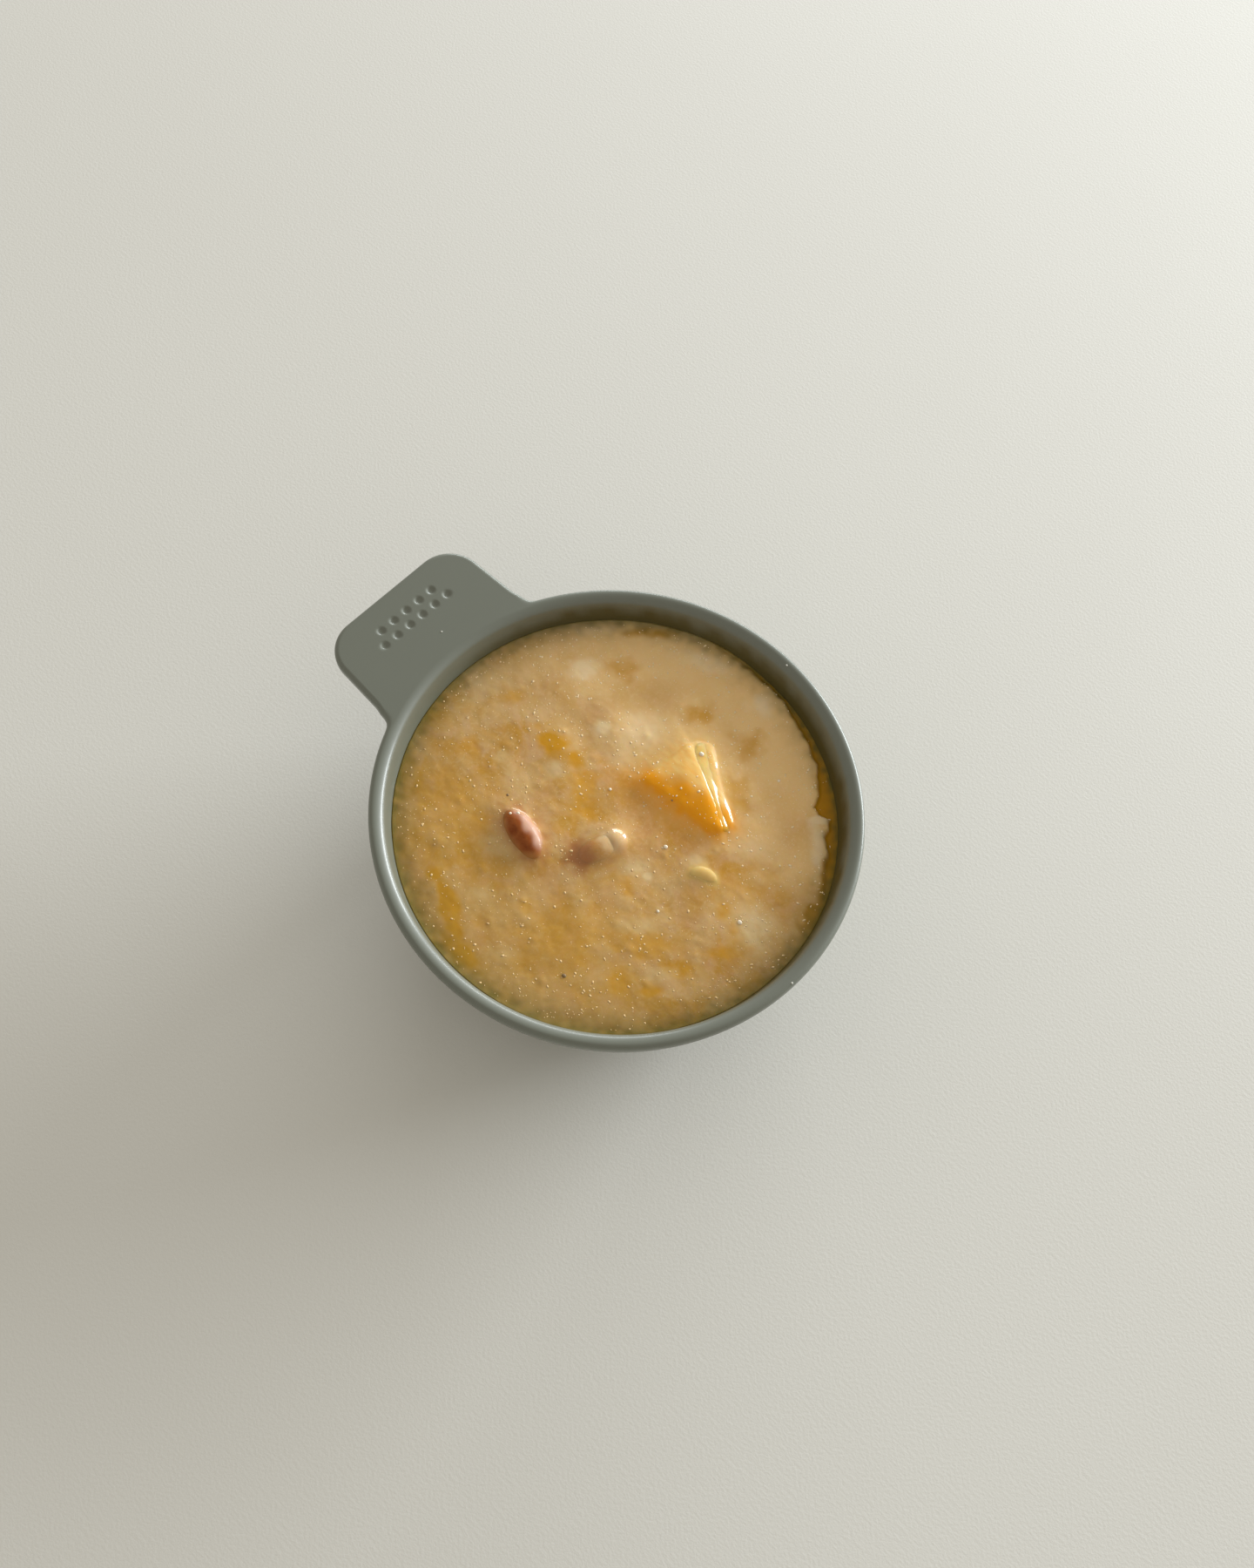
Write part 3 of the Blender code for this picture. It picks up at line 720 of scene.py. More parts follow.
# Film over the chunk's covered side: its depth, the drop and the steeper fall that end it (mm),
# the places across the ridge where they start and stop, and the softness of its join
COVER_DEPTH = 0.10
COVER_DROP = 0.45
COVER_DROP_SPAN = (0.4, 3.2)
COVER_FALL = 2.5
COVER_FALL_SPAN = (1.7, 3.4)
COVER_BLEND = 0.35 * MM
HALVINGS = 14
# Film that creeps up the chunk, the beans and the sliver: lift, width, depth (mm), slope;
# it climbs higher on the chunk's covered side
FILM_CLIMB = 0.7
COVERED_SPAN = (2.4, 0.6)
FILMS = (
    (0.40, 1.3, 0.9, 0.70), (0.35, 0.9, 0.9, 0.9), (0.30, 1.2, 0.6, 0.7), (0.15, 0.8, 0.3, 0.6),
)


def make_porridge():
    reach = float(wall_radius(LEVEL)) + WALL_OVERLAP
    x, y = disc_grid(PORRIDGE_GRID)
    x, y = x * reach, y * reach
    top = np.column_stack([x, y, porridge_height(x, y)])
    n = PORRIDGE_GRID + 1
    corner = (np.arange(n - 1)[:, None] * n + np.arange(n - 1)).ravel()
    faces = np.stack([corner, corner + 1, corner + n + 1, corner + n], 1).tolist()
    rim = grid_rim(PORRIDGE_GRID)
    angle = np.arctan2(y[rim], x[rim])
    leans = spread(float(lean_at(LEVEL - 2 * MM, -HALF)), pi / 2, SKIRT_ROWS)
    radius, height = section(leans, -HALF - 0.05 * MM)
    skirt = np.stack([np.outer(np.cos(angle), radius), np.outer(np.sin(angle), radius),
                      np.tile(height, (len(rim), 1))], -1)
    start = len(top)
    points = np.vstack([top, skirt.reshape(-1, 3), [(0.0, 0.0, height[-1])]])
    faces += ring_faces(len(rim), SKIRT_ROWS, start)
    for i in range(len(rim)):
        j = (i + 1) % len(rim)
        here, there = start + i * SKIRT_ROWS, start + j * SKIRT_ROWS
        faces.append((int(rim[i]), int(rim[j]), there, here))
        faces.append((len(points) - 1, here + SKIRT_ROWS - 1, there + SKIRT_ROWS - 1))
    porridge = mesh_object("porridge_mass", points, faces, porridge_material())
    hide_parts("porridge")
    paint_food(porridge, points)


# Reach of the chunk's colour round it (mm): the least, and more on its left and its low side
FLESH_REACH = 1.1
FLESH_LEFT = 2.4
FLESH_LOW = 0.9
# Reach of the left bean's brown (mm), and the brown spot between the beans: place, edge (mm)
BROWN_REACH = 0.9
BROWN_SPOT = (-0.7, 12.0)
BROWN_SPOT_EDGE = (6.2, 1.0)


def piece_shares(x, y):
    """Shares of the chunk's colour, of its deep side, partly painted shade away from the window, of
    bean brown and of sliver yellow.
    """
    ragged = sample(SMALL, x, y)
    chunk, left, right, sliver = near_pieces(x, y)
    side = from_chunk(x, y, LEFT)[0]
    low = from_chunk(x, y, LOW_SIDE)[0] + 0.6 * sample(MIDDLE, x, y)
    width = FLESH_REACH + FLESH_LEFT * step(-1.0, 6.0, side) + FLESH_LOW * step(0.0, 4.0, low)
    chunk = chunk + 0.3 * ragged
    flesh = 0.80 * np.exp(-np.maximum(chunk, 0.0) / width) + 0.20 * step(0.5, -1.0, chunk)
    # Deeper orange towards the chunk's low side, away from the window: partly painted shade
    deep_and_shaded = step(-0.6, 3.4, low)
    stain = 0.60 * np.exp(-np.maximum(left + 0.3 * ragged, 0.0) / BROWN_REACH)
    spot = np.hypot(x / MM - BROWN_SPOT[0], y / MM - BROWN_SPOT[1]) + 0.5 * ragged
    stain = np.maximum(stain, 0.85 * step(*BROWN_SPOT_EDGE, spot))
    stain = np.maximum(stain, 0.30 * step(1.6, -0.4, right + 0.3 * ragged))
    yellow = 0.8 * step(1.0, -0.4, sliver + 0.25 * ragged)
    return flesh, deep_and_shaded, stain, yellow


# Painted shade over the upper end of the liquid: strength, and azimuths between which it sets in
PAINTED_MOAT_SHADE = 0.55
PAINTED_MOAT_SHADE_TURNS = (-2.06, -1.92)
# Pale cloud over the sunken bean's end: place, where its edge fades (mm), strength
HUMP = (-3.3, 5.2)
HUMP_EDGE = (3.9, 1.2)
HUMP_SHARE = 0.95
# Narrow strip of liquid beside the wall: azimuth, where it fades round and inward (mm), strength
STRIP_AZIMUTH = radians(-157.0)
STRIP_TURN = (0.32, 0.12)
STRIP_WIDTH = (3.6, 2.0)
STRIP_SHARE = 0.8
# Strength of the pale torn edge of the skin beside the liquid, partly a painted highlight along it
TORN_EDGE_AND_HIGHLIGHT_SHARE = 0.7
# Where the wet film round a piece fades (mm outside it), and its strength on the left bean
WET_EDGE = (1.2, -0.2)
WET_EDGE_RIGHT = (1.6, -0.2)
WET_LEFT = 0.6
# Painted light and shade: length (mm) over which the porridge goes from painted shade to painted
# light, paler towards the window, and the place halfway
PAINTED_LIGHT_SPAN = 64.0
PAINTED_LIGHT_MIDDLE = -1.0


def painted_light_share(x, y):
    """Share of painted light: the porridge is painted paler towards the window and, where this is
    low, dimmer away from it.
    """
    return 0.5 - (y / MM - PAINTED_LIGHT_MIDDLE) / PAINTED_LIGHT_SPAN + 0.05 * sample(BROAD, x, y)


def paint_food(item, points):
    """Masks that depend on the place alone, so that meshes which meet agree."""
    x, y = points[:, 0], points[:, 1]
    small = sample(SMALL, x, y)
    edge = np.maximum((wall_radius(LEVEL) - np.hypot(x, y)) / MM + 0.3 * small, 0.0)
    low = moat(x, y)
    # Painted shade beside the wall, painted shadows in the liquid and painted shade over the
    # liquid's upper end
    shade = EDGE_SHADE * np.exp(-(edge / (EDGE_REACH * (1.0 - 0.5 * low))) ** 1.25)
    shade = np.maximum(shade, patches(PAINTED_SHADOW_MARKS, x, y))
    azimuth = np.arctan2(y, x)
    shade = np.maximum(shade, PAINTED_MOAT_SHADE * low * step(*PAINTED_MOAT_SHADE_TURNS, azimuth))
    hump = np.hypot(x / MM - HUMP[0], y / MM - HUMP[1]) + 0.3 * small
    strip = STRIP_SHARE * step(*STRIP_WIDTH, edge + 0.3 * sample(MIDDLE, x, y))
    strip = strip * step(*STRIP_TURN, np.abs(azimuth - STRIP_AZIMUTH))
    # Pale torn edge of the skin, partly a painted highlight along it
    torn_and_highlight = step(0.02, 0.10, low) * step(0.45, 0.15, low) * step(-0.6, 0.6, sample(BROAD, x, y))
    pale = np.maximum(patches(PALE_PATCHES, x, y), HUMP_SHARE * step(*HUMP_EDGE, hump))
    pale = np.maximum(pale, TORN_EDGE_AND_HIGHLIGHT_SHARE * torn_and_highlight)
    paint(item, "ground", patches(ORANGE_PATCHES, x, y), pale,
          np.maximum(step(0.15, 0.75, low), strip), shade)
    paint(item, "pieces", *piece_shares(x, y))
    chunk, left, right, _ = near_pieces(x, y)
    along, across = chunk_lines(x, y)
    lit = step(0.6, 1.8, across) * step(-4.8, -3.4, along)
    wet = lit * step(*WET_EDGE, chunk + 0.3 * small)
    wet = np.maximum(wet, WET_LEFT * step(*WET_EDGE, left + 0.3 * small))
    wet = np.maximum(wet, step(*WET_EDGE_RIGHT, right + 0.3 * small))
    cloud = 0.5 + 0.22 * sample(BROAD, x, y) + 0.12 * sample(MIDDLE, x, y)
    # The film attribute's third mask is painted light and shade.
    paint(item, "film", wet, cloud, painted_light_share(x, y))


# Bits of rice: least size and most beyond it (mm), how rare big ones are, least and most
# stretch along each axis, and the share of the size that each lies below the surface
SPECK_SIZE = (0.12, 0.25)
SPECK_RARITY = 4.0
SPECK_SHAPE = ((0.8, 0.6, 0.18), (1.5, 1.0, 0.32))
SPECK_SINK = 0.05


def make_specks():
    """Tiny pale bits of rice that lie all over the surface, half sunk."""
    rng = np.random.default_rng(SEED + 9)
    bm = bmesh.new()
    bmesh.ops.create_icosphere(bm, subdivisions=1, radius=1.0)
    ball = np.array([v.co[:] for v in bm.verts])
    sides = np.array([[v.index for v in f.verts] for f in bm.faces])
    bm.free()
    reach = float(wall_radius(LEVEL)) - 1.0 * MM
    points, faces = [], []
    while len(points) < SPECK_COUNT:
        radius, angle = reach * rng.random() ** 0.5, rng.uniform(0, 2 * pi)
        x, y = radius * cos(angle), radius * sin(angle)
        size = MM * (SPECK_SIZE[0] + SPECK_SIZE[1] * rng.random() ** SPECK_RARITY)
        shape = ball * size * rng.uniform(*SPECK_SHAPE)
        spin = rng.uniform(0, pi)
        turned_x = shape[:, 0] * cos(spin) - shape[:, 1] * sin(spin)
        turned_y = shape[:, 0] * sin(spin) + shape[:, 1] * cos(spin)
        if rng.random() < 0.5 * (1 + np.tanh(float(sample(BROAD, x, y)) + 1.2)):
            height = float(porridge_height(x, y)) - SPECK_SINK * size
            faces.append(sides + len(points) * len(ball))
            points.append(np.column_stack([x + turned_x, y + turned_y, height + shape[:, 2]]))
    points = np.vstack(points)
    faces = np.vstack(faces).tolist()
    specks = mesh_object("rice_specks", points, faces, speck_material())
    # The specks get the same painted light towards the window.
    paint(specks, "film", 0.0, 0.0, painted_light_share(points[:, 0], points[:, 1]))


def scattered(name, rows, top, flat, mat):
    """Small flattened balls at given places, each with its middle on the surface there."""
    directions = ball_directions(*MARK_COUNTS)
    points, faces = [], []
    for px, py, size in rows:
        x, y = px * MM, py * MM
        middle = np.array([x, y, top(x, y)])
        ball = middle + directions * np.array([1.0, 0.85, flat]) * size * MM
        ends = middle + np.array([[0, 0, flat], [0, 0, -flat]]) * size * MM
        body, sides = loft(ball, *ends)
        start = sum(len(p) for p in points)
        faces += [tuple(start + k for k in side) for side in sides]
        points.append(body)
    return mesh_object(name, np.vstack(points), faces, mat)


PROBE_REACH = 3.0 * MM
PROBE_STEPS = 61


def food_top(x, y):
    """The highest of the porridge, the left bean and the chunk at a place."""
    top = float(porridge_height(x, y))
    heights = np.linspace(top, top + PROBE_REACH, PROBE_STEPS)
    probe = np.stack(np.broadcast_arrays(x, y, heights), -1)
    within = (outside_bean(probe, BEAN_LEFT) < 0) | (outside_chunk(probe) < 0)
    return float(heights[within].max()) if within.any() else top


def bowl_top(x, y):
    """The height of the lip or the tab at a place on it."""
    if hypot(x, y) >= RIM_RADIUS:
        return BOWL_HEIGHT
    radius, height = lip(np.linspace(0.0, pi, 181))
    return float(height[np.argmin(np.abs(radius - hypot(x, y)))])


def make_small_marks():
    scattered("wet_beads_and_glints", WET_BEADS_AND_GLINTS, food_top, 0.6, bead_material())
    scattered("dark_specks", DARK_SPECKS, food_top, 0.4, husk_material())
    scattered("bowl_dust", BOWL_DUST, bowl_top, 0.5, dust_material())


# Pieces in the porridge


def ball_directions(columns, rows):
    turn = 2 * pi * np.arange(columns) / columns
    tilt = pi / 2 - pi * np.arange(1, rows) / rows
    t, a = np.meshgrid(tilt, turn)
    return np.stack([np.cos(t) * np.cos(a), np.cos(t) * np.sin(a), np.sin(t)], -1)


def ball_body(shape, columns, rows):
    """A closed body whose points are shape(directions)."""
    ends = shape(np.array([[0.0, 0.0, 1.0], [0.0, 0.0, -1.0]]))
    return loft(shape(ball_directions(columns, rows)), ends[0], ends[1])


# Columns and rows of points on the chunk, on a bean or the sliver, and on a small mark
CHUNK_COUNTS = (220, 110)
BEAN_COUNTS = (96, 64)
MARK_COUNTS = (14, 8)
# Ripples on the chunk's right face: height (mm), random field, and how much the field is read
# closer along and across the ridge; and where they set in across the ridge (mm)
WRINKLES = ((0.05, MIDDLE, 1.4, 1.2), (0.035, SMALL, 0.9, 0.8), (0.012, FINE, 0.8, 1.0))
WRINKLE_SPAN = (1.2, 2.8)


def chunk_shape(directions):
    """Rounded polyhedron, with soft random relief and wet ripples on its right face."""
    radius = chunk_radius(directions)
    points = np.array(CHUNK_CENTRE) + directions * radius[..., None]
    x, y, z = points[..., 0], points[..., 1], points[..., 2]
    along, across = chunk_lines(x, y)
    relief = CHUNK_RELIEF * sample(MIDDLE, x, y)
    wrinkles = sum(
        height * sample(field, along * length * MM, across * width * MM + z)
        for height, field, length, width in WRINKLES)
    relief = relief + step(*WRINKLE_SPAN, across) * wrinkles
    return points + directions * (relief * MM)[..., None]


def bean_shape(spec):
    centre, half, axes = oval_frame(spec)

    def shape(directions):
        p = directions[..., [2, 0, 1]] * half
        p[..., 1] += spec["bend"] * (p[..., 0] ** 2 / half[0] - half[0] / 3)
        points = centre + p @ axes.T
        relief = 0.02 * sample(MIDDLE, points[..., 0] + points[..., 2], points[..., 1])
        return points + directions[..., [2, 0, 1]] @ axes.T * (relief * MM)[..., None]

    return shape


def make_chunk():
    points, faces = ball_body(chunk_shape, *CHUNK_COUNTS)
    chunk = mesh_object("pumpkin_flesh", points, faces, chunk_material())
    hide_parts("pumpkin_chunk")
    paint_food(chunk, points)
    along, across = chunk_lines(points[:, 0], points[:, 1])
    ragged = sample(SMALL, points[:, 0], points[:, 1])
    thread = 0.7 * step(0.22, 0.06, np.abs(ragged)) * step(-10.0, -8.0, along)
    wet = 0.06 + 0.94 * np.maximum(step(-4.6, -3.0, along + 0.8 * ragged), thread)
    paint(chunk, "skin", wet * step(1.0, 2.4, across))


def bean_skin(spec, away, points):
    """Shares of bare skin and of its pale side towards the window, partly painted sheen, for a bean
    that breaks the surface.
    """
    centre, half, axes = oval_frame(spec)
    local = (points - centre) @ axes / half
    rough = sample(SMALL, points[:, 0], points[:, 1])
    bare = step(spec["bare"][0], spec["bare"][1], -away + 0.12 * rough)
    edge = 0.15 * np.maximum(-local[:, 0] - 0.2, 0.0)
    # Pale band on the side towards the window, partly painted sheen
    band_and_sheen = step(-0.30, 0.30, local[:, 1] - edge + 0.08 * rough)
    band_and_sheen = band_and_sheen * step(-1.0, -0.6, local[:, 0]) * step(0.95, 0.45, local[:, 0])
    return bare, band_and_sheen


def make_beans():
    for k, (name, node_name, spec, slot, mat) in enumerate((
        ("red_bean", "bean_left", BEAN_LEFT, "bean", bean_material),
        ("sunken_bean", "bean_right", BEAN_RIGHT, "bean_dark", sunken_bean_material),
        ("squash_sliver", "pale_sliver", SLIVER, "squash_pale", sliver_material),
    )):
        points, faces = ball_body(bean_shape(spec), *BEAN_COUNTS)
        piece = mesh_object(name, points, faces, mat())
        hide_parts(node_name)
        paint_food(piece, points)
        away = near_pieces(points[:, 0], points[:, 1])[k + 1]
        paint(piece, "skin", *bean_skin(spec, away, points))


# Materials


def new_material(name):
    mat = bpy.data.materials.new(name)
    mat.use_nodes = True
    tree = mat.node_tree
    shader = next(n for n in tree.nodes if n.type == "BSDF_PRINCIPLED")
    return mat, tree, shader


def node(tree, kind, **settings):
    item = tree.nodes.new(kind)
    for key, value in settings.items():
        setattr(item, key, value)
    return item


def connect(tree, socket, value):
    """Links the socket to another one, or sets it to a plain value."""
    if isinstance(value, bpy.types.NodeSocket):
        tree.links.new(value, socket)
    else:
        socket.default_value = value


def set_inputs(tree, item, **values):
    """Connects a node's inputs, whose names have underscores for spaces here."""
    for name, value in values.items():
        connect(tree, item.inputs[name.replace("_", " ")], value)


def noise(tree, size, detail=2.0, roughness=0.5, stretch=None, distortion=0.0):
    """Noise whose blobs are about size across, in the object's own space."""
    place = node(tree, "ShaderNodeTexCoord").outputs["Object"]
    if stretch:
        mapping = node(tree, "ShaderNodeMapping")
        set_inputs(tree, mapping, Rotation=stretch[0], Scale=stretch[1], Vector=place)
        place = mapping.outputs["Vector"]
    texture = node(tree, "ShaderNodeTexNoise")
    set_inputs(tree, texture, Scale=1.0 / size, Detail=detail, Roughness=roughness,
               Distortion=distortion, Vector=place)
    return texture.outputs["Fac"]


def ramp(tree, value, low, high, start=0.0, stop=1.0):
    """Maps value from low..high to start..stop, held at the ends."""
    item = node(tree, "ShaderNodeMapRange")
    set_inputs(tree, item, From_Min=low, From_Max=high, To_Min=start, To_Max=stop, Value=value)
    return item.outputs["Result"]


def mix(tree, factor, first, second):
    """Mixes two colours; each is a socket or a plain colour."""
    item = node(tree, "ShaderNodeMix", data_type="RGBA")
    for index, value in ((0, factor), (6, first), (7, second)):
        connect(tree, item.inputs[index], (*value, 1.0) if isinstance(value, tuple) else value)
    return item.outputs[2]


def times(tree, first, second):
    item = node(tree, "ShaderNodeMath", operation="MULTIPLY")
    for socket, value in zip(item.inputs, (first, second)):
        connect(tree, socket, value)
    return item.outputs[0]


def masks(tree, name):
    """The four masks of a painted attribute."""
    item = node(tree, "ShaderNodeAttribute", attribute_name=name)
    split = node(tree, "ShaderNodeSeparateColor")
    tree.links.new(item.outputs["Color"], split.inputs[0])
    return split.outputs[0], split.outputs[1], split.outputs[2], item.outputs["Alpha"]


def bump(tree, shader, height, strength, distance):
    item = node(tree, "ShaderNodeBump")
    set_inputs(tree, item, Strength=strength, Distance=distance, Height=height)
    set_inputs(tree, shader, Normal=item.outputs["Normal"])


def cloudy_material(name, blend, colours, rough, roughness):
    """A material whose colour and roughness each waver between two values.

    blend and rough are what noise takes for the two.
    """
    mat, tree, shader = new_material(name)
    colour = mix(tree, noise(tree, *blend), *colours)
    set_inputs(tree, shader, Base_Color=colour,
               Roughness=ramp(tree, noise(tree, *rough), 0.3, 0.7, *roughness))
    return mat, tree, shader, colour


TAN = (0.605, 0.358, 0.125)
OCHRE = (0.575, 0.305, 0.058)
PINK_TAN = (0.620, 0.360, 0.155)
# Painted light: paler tan towards the window
PAINTED_LIGHT_TAN = (0.990, 0.680, 0.310)
# Painted shade: dimmer tan away from the window
PAINTED_SHADE_TAN = (0.420, 0.240, 0.040)
FLESH_ORANGE = (0.660, 0.325, 0.024)
STARCH = (0.740, 0.560, 0.300)
# Painted light: paler starch towards the window
STARCH_PAINTED_LIGHT = (0.960, 0.725, 0.430)
LIQUID = (0.520, 0.245, 0.006)
SHADY = (0.130, 0.105, 0.020)
BEAN_BROWN = (0.400, 0.140, 0.036)
BEAN_RED = (0.350, 0.100, 0.020)
BEAN_DARK = (0.240, 0.055, 0.008)
BEAN_PALE_AND_SHEEN = (0.570, 0.345, 0.250)
CHUNK_LIGHT = (0.900, 0.590, 0.200)
# Deep orange of the chunk's low side, partly painted shade
CHUNK_DEEP_AND_SHADED = (0.900, 0.370, 0.010)
SLIVER_YELLOW = (0.740, 0.500, 0.170)


def food_colour(tree):
    """Cloudy tan porridge with its patches, and the pieces' colours where they show."""
    cloud = ramp(tree, masks(tree, "film")[1], 0.25, 0.75)
    broad = noise(tree, 12 * MM, 4.0, 0.65, distortion=0.5)
    ground = mix(tree, ramp(tree, broad, 0.38, 0.60), TAN, OCHRE)
    middle = noise(tree, 6 * MM, 4.0, 0.6, distortion=0.8)
    ground = mix(tree, ramp(tree, middle, 0.46, 0.64), ground, PINK_TAN)
    ground = mix(tree, times(tree, cloud, 0.30), ground, STARCH)
    streak = noise(tree, 2.6 * MM, 4.0, 0.62, distortion=1.2)
    ground = mix(tree, ramp(tree, streak, 0.54, 0.74, 0.0, 0.35), ground, STARCH)
    ground = mix(tree, ramp(tree, streak, 0.44, 0.30, 0.0, 0.20), ground, OCHRE)
    # Painted light and shade: paler towards the window, dimmer away from it
    painted_light = masks(tree, "film")[2]
    ground = mix(tree, ramp(tree, painted_light, 0.5, 1.0, 0.0, 0.78), ground, PAINTED_LIGHT_TAN)
    starch = mix(tree, ramp(tree, painted_light, 0.5, 0.9, 0.0, 1.0), STARCH, STARCH_PAINTED_LIGHT)
    grain = ramp(tree, noise(tree, 0.6 * MM, 2.0), 0.55, 0.72, 0.0, 0.30)
    ground = mix(tree, grain, ground, starch)
    patchy = ramp(tree, noise(tree, 2.5 * MM, 3.0, 0.6), 0.30, 0.55, 0.80, 1.35)
    orange, pale, liquid, edge = masks(tree, "ground")
    ground = mix(tree, times(tree, orange, patchy), ground, FLESH_ORANGE)
    ground = mix(tree, times(tree, pale, patchy), ground, starch)
    # Painted shade away from the window
    ground = mix(tree, ramp(tree, painted_light, 0.42, 0.0, 0.0, 0.42), ground, PAINTED_SHADE_TAN)
    ground = mix(tree, liquid, ground, LIQUID)
    # Painted shade beside the wall and in the liquid
    ground = mix(tree, edge, ground, SHADY)
    flesh, deep_and_shaded, stain, yellow = masks(tree, "pieces")
    turn = (0.0, 0.0, -CHUNK_HEADING)
    fibre = noise(tree, 1.6 * MM, 4.0, 0.6, stretch=(turn, (0.3, 1.6, 1.6)))
    chunk = mix(tree, ramp(tree, fibre, 0.38, 0.66, 0.0, 0.40), CHUNK_LIGHT, CHUNK_DEEP_AND_SHADED)
    # Painted shade, partly the flesh's deeper orange, on the chunk's low side
    chunk = mix(tree, deep_and_shaded, chunk, CHUNK_DEEP_AND_SHADED)
    ground = mix(tree, stain, ground, BEAN_BROWN)
    ground = mix(tree, yellow, ground, SLIVER_YELLOW)
    return mix(tree, flesh, ground, chunk)


def food_material(name, roughness, coat, bumps, colour=None):
    """Wet food: its own colour over the shared one, if given as a function of the tree."""
    mat, tree, shader = new_material(name)
    under = food_colour(tree)
    dull = times(tree, ramp(tree, masks(tree, "pieces")[1], 0.0, 1.0, 1.0, 0.4),
                 ramp(tree, masks(tree, "ground")[2], 0.0, 1.0, 0.26, 0.08))
    set_inputs(tree, shader, Specular_IOR_Level=0.24, Coat_Roughness=0.05, Subsurface_Weight=0.35,
               Subsurface_Radius=(1.0, 0.5, 0.15), Subsurface_Scale=2.0 * MM)
    set_inputs(tree, shader, Base_Color=colour(tree, under) if colour else under,
               Roughness=ramp(tree, noise(tree, 2.5 * MM, 2.0), 0.3, 0.7, *roughness),
               Coat_Weight=ramp(tree, masks(tree, "film")[0], 0.0, 1.0, *coat),
               Specular_IOR_Level=dull)
    size, strength, depth = bumps
    bump(tree, shader, noise(tree, size, 3.0, 0.55), strength, depth)
    return mat


def porridge_material():
    return food_material("porridge_wet", (0.30, 0.42), (0.05, 0.8), (0.5 * MM, 0.25, 0.03 * MM))


def chunk_material():
    mat = food_material("pumpkin_wet", (0.25, 0.38), (0.9, 0.9), (1.2 * MM, 0.35, 0.08 * MM))
    tree = mat.node_tree
    shader = next(n for n in tree.nodes if n.type == "BSDF_PRINCIPLED")
    set_inputs(tree, shader, Subsurface_Weight=0.6, Subsurface_Scale=3.0 * MM,
               Coat_Weight=ramp(tree, masks(tree, "skin")[0], 0.0, 1.0, 0.0, 0.95))
    return mat


def bean_skin_colour(tree, under):
    bare, band_and_sheen, _, _ = masks(tree, "skin")
    skin = mix(tree, ramp(tree, noise(tree, 2.2 * MM, 4.0, 0.6), 0.35, 0.65), BEAN_RED, BEAN_DARK)
    # Pale side towards the window, partly painted sheen
    skin = mix(tree, band_and_sheen, skin, BEAN_PALE_AND_SHEEN)
    return mix(tree, bare, under, skin)


def bean_material():
    bumps = (0.8 * MM, 0.3, 0.06 * MM)
    return food_material("bean_skin", (0.32, 0.45), (0.05, 0.12), bumps, bean_skin_colour)


def sunken_skin_colour(tree, under):
    bare = masks(tree, "skin")[0]
    speckle = ramp(tree, noise(tree, 1.4 * MM, 3.0, 0.6), 0.38, 0.62, 0.0, 0.25)
    return mix(tree, times(tree, bare, speckle), under, BEAN_BROWN)


def sunken_bean_material():
    bumps = (1.2 * MM, 0.6, 0.15 * MM)
    return food_material("bean_under_film", (0.22, 0.34), (0.9, 0.9), bumps, sunken_skin_colour)


def sliver_colour(tree, under):
    flesh = mix(tree, noise(tree, 1.5 * MM, 3.0), (0.780, 0.560, 0.220), (0.700, 0.450, 0.130))
    return mix(tree, masks(tree, "skin")[0], under, flesh)


def sliver_material():
    bumps = (0.8 * MM, 0.3, 0.06 * MM)
    return food_material("squash_sliver", (0.32, 0.44), (0.1, 0.2), bumps, sliver_colour)


def speck_material():
    colours = ((0.640, 0.410, 0.170), (0.800, 0.600, 0.330))
    mat, tree, shader, colour = cloudy_material(
        "rice_speck", (1.5 * MM, 1.0), colours, (3 * MM, 1.0), (0.45, 0.60))
    # Painted light: the specks are paler towards the window
    painted_light = ramp(tree, masks(tree, "film")[2], 0.4, 0.8)
    colour = mix(tree, painted_light, colour, (0.980, 0.780, 0.490))
    set_inputs(tree, shader, Base_Color=colour, Specular_IOR_Level=0.08)
    return mat


def bead_material():
    # Near-white, partly a painted glint
    colours = ((0.900, 0.760, 0.560), (0.980, 0.900, 0.740))
    mat, tree, shader, _ = cloudy_material(
        "wet_bead_and_glint", (0.8 * MM, 1.0), colours, (1.0 * MM, 1.0), (0.16, 0.24))
    set_inputs(tree, shader, Coat_Weight=1.0, Coat_Roughness=0.05)
    return mat


def husk_material():
    colours = ((0.180, 0.110, 0.040), (0.280, 0.180, 0.080))
    return cloudy_material("dark_husk", (0.5 * MM, 2.0), colours, (0.5 * MM, 1.0), (0.45, 0.65))[0]


def dust_material():
    colours = ((0.450, 0.450, 0.400), (0.750, 0.740, 0.680))
    return cloudy_material("pale_dust", (0.3 * MM, 2.0), colours, (0.3 * MM, 1.0), (0.60, 0.80))[0]


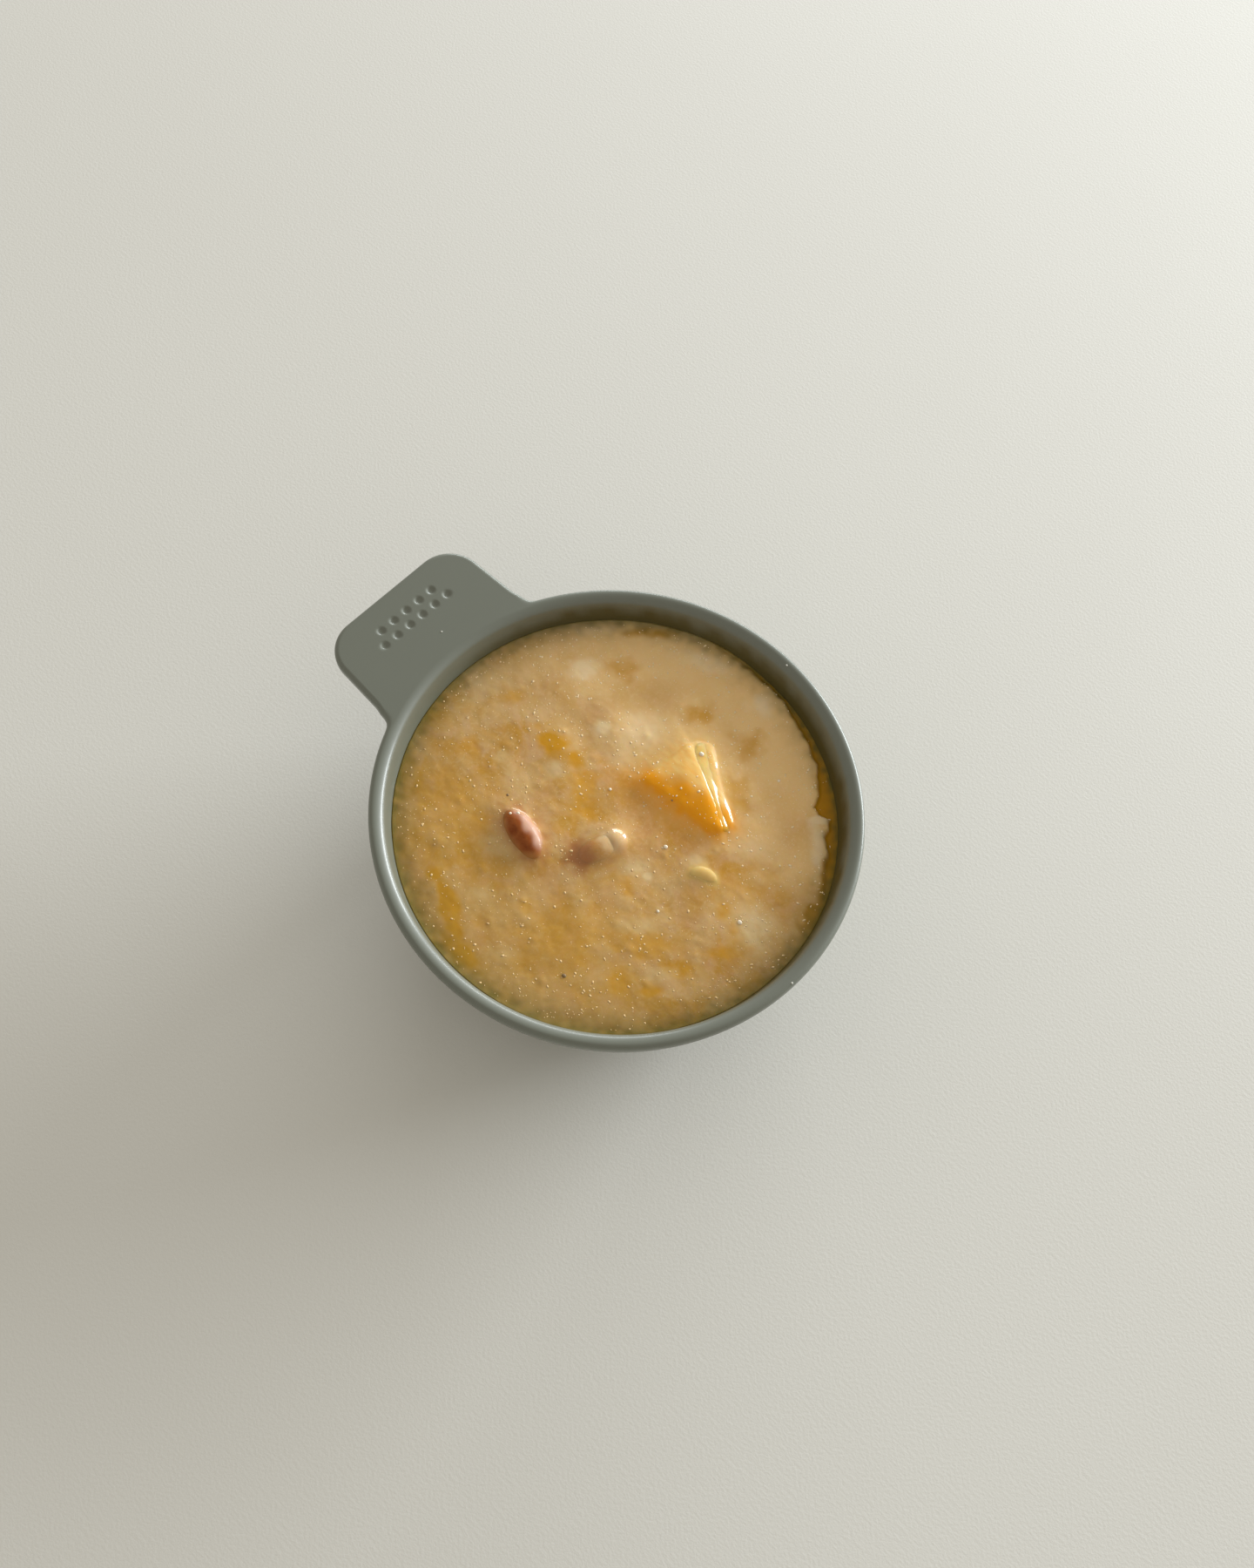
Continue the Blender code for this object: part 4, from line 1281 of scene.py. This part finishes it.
def bowl_material():
    colours = ((0.107, 0.120, 0.087), (0.116, 0.129, 0.094))
    mat, tree, shader, colour = cloudy_material(
        "sage_satin", (18 * MM, 3.0, 0.6), colours, (3 * MM, 4.0, 0.6), (0.56, 0.64))
    speck = ramp(tree, noise(tree, 0.35 * MM, 2.0), 0.70, 0.80, 0.0, 0.10)
    colour = mix(tree, speck, colour, (0.30, 0.31, 0.27))
    stain = masks(tree, "stain")[0]
    # Warm film on the inside of the wall, partly painted shade and painted reflection of the
    # porridge
    colour = mix(tree, times(tree, stain, 0.85), colour, (0.085, 0.065, 0.010))
    set_inputs(tree, shader, Base_Color=colour, Coat_Weight=0.65, Coat_Roughness=0.25, IOR=1.65,
               Specular_IOR_Level=0.75)
    set_inputs(tree, shader, Specular_IOR_Level=ramp(tree, stain, 0.0, 1.0, 0.75, 0.15))
    bump(tree, shader, noise(tree, 0.28 * MM, 3.0, 0.6), 0.25, 0.03 * MM)
    return mat


def floor_material():
    colours = ((0.700, 0.690, 0.650), (0.735, 0.728, 0.690))
    mat, tree, shader, _ = cloudy_material(
        "pale_table", (0.25, 3.0), colours, (0.05, 3.0), (0.50, 0.58))
    bump(tree, shader, noise(tree, 0.7 * MM, 3.0, 0.6), 0.75, 0.07 * MM)
    return mat


# Floor, light and camera


def make_floor():
    mesh = bpy.data.meshes.new("table_top")
    bm = bmesh.new()
    bmesh.ops.create_grid(bm, x_segments=24, y_segments=24, size=FLOOR_HALF)
    bm.to_mesh(mesh)
    bm.free()
    mesh.materials.append(floor_material())
    floor = bpy.data.objects.new("table_top", mesh)
    bpy.context.scene.collection.objects.link(floor)


def make_light():
    world = bpy.data.worlds.new("room")
    bpy.context.scene.world = world
    world.use_nodes = True
    background = next(n for n in world.node_tree.nodes if n.type == "BACKGROUND")
    background.inputs["Color"].default_value = (*ROOM_COLOUR, 1.0)
    background.inputs["Strength"].default_value = ROOM_STRENGTH
    for azimuth, distance, width, height, middle, power in WINDOWS:
        light = bpy.data.lights.new("window", "AREA")
        light.shape = "RECTANGLE"
        light.size, light.size_y = width, height
        light.energy = power
        light.color = WINDOW_COLOUR
        window = bpy.data.objects.new("window", light)
        facing = Vector((cos(azimuth), sin(azimuth), 0.0))
        window.location = facing * distance + Vector((0.0, 0.0, middle))
        window.rotation_euler = facing.to_track_quat("Z", "Y").to_euler()
        bpy.context.scene.collection.objects.link(window)


def make_camera():
    level = cos(VIEW_ELEVATION)
    back = Vector((sin(VIEW_AZIMUTH) * level, -cos(VIEW_AZIMUTH) * level, sin(VIEW_ELEVATION)))
    right = Vector((cos(VIEW_AZIMUTH), sin(VIEW_AZIMUTH), 0.0))
    up = back.cross(right)
    rolled_right = right * cos(VIEW_ROLL) + up * sin(VIEW_ROLL)
    rolled_up = up * cos(VIEW_ROLL) - right * sin(VIEW_ROLL)
    place = Vector((0.0, 0.0, VIEW_AIM_HEIGHT)) + back * VIEW_DISTANCE
    place -= rolled_right * VIEW_OFFSET[0] + rolled_up * VIEW_OFFSET[1]
    data = bpy.data.cameras.new("camera")
    data.sensor_fit = "VERTICAL"
    data.sensor_height = SENSOR_MM
    data.lens = FOCAL_MM
    data.clip_start = 0.01
    camera = bpy.data.objects.new("camera", data)
    turn = Matrix((rolled_right, rolled_up, back)).transposed()
    camera.matrix_world = Matrix.Translation(place) @ turn.to_4x4()
    bpy.context.scene.collection.objects.link(camera)
    bpy.context.scene.camera = camera


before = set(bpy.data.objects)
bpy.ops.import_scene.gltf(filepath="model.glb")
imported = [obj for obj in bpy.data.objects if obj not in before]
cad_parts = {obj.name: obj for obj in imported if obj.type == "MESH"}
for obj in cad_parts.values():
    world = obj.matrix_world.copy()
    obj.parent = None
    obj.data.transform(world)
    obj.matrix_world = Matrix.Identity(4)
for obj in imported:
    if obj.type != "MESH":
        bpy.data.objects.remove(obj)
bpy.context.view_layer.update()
bpy.context.scene.view_settings.view_transform = "Standard"
make_camera()
make_light()
make_floor()
make_bowl()
make_porridge()
make_specks()
make_chunk()
make_beans()
make_small_marks()
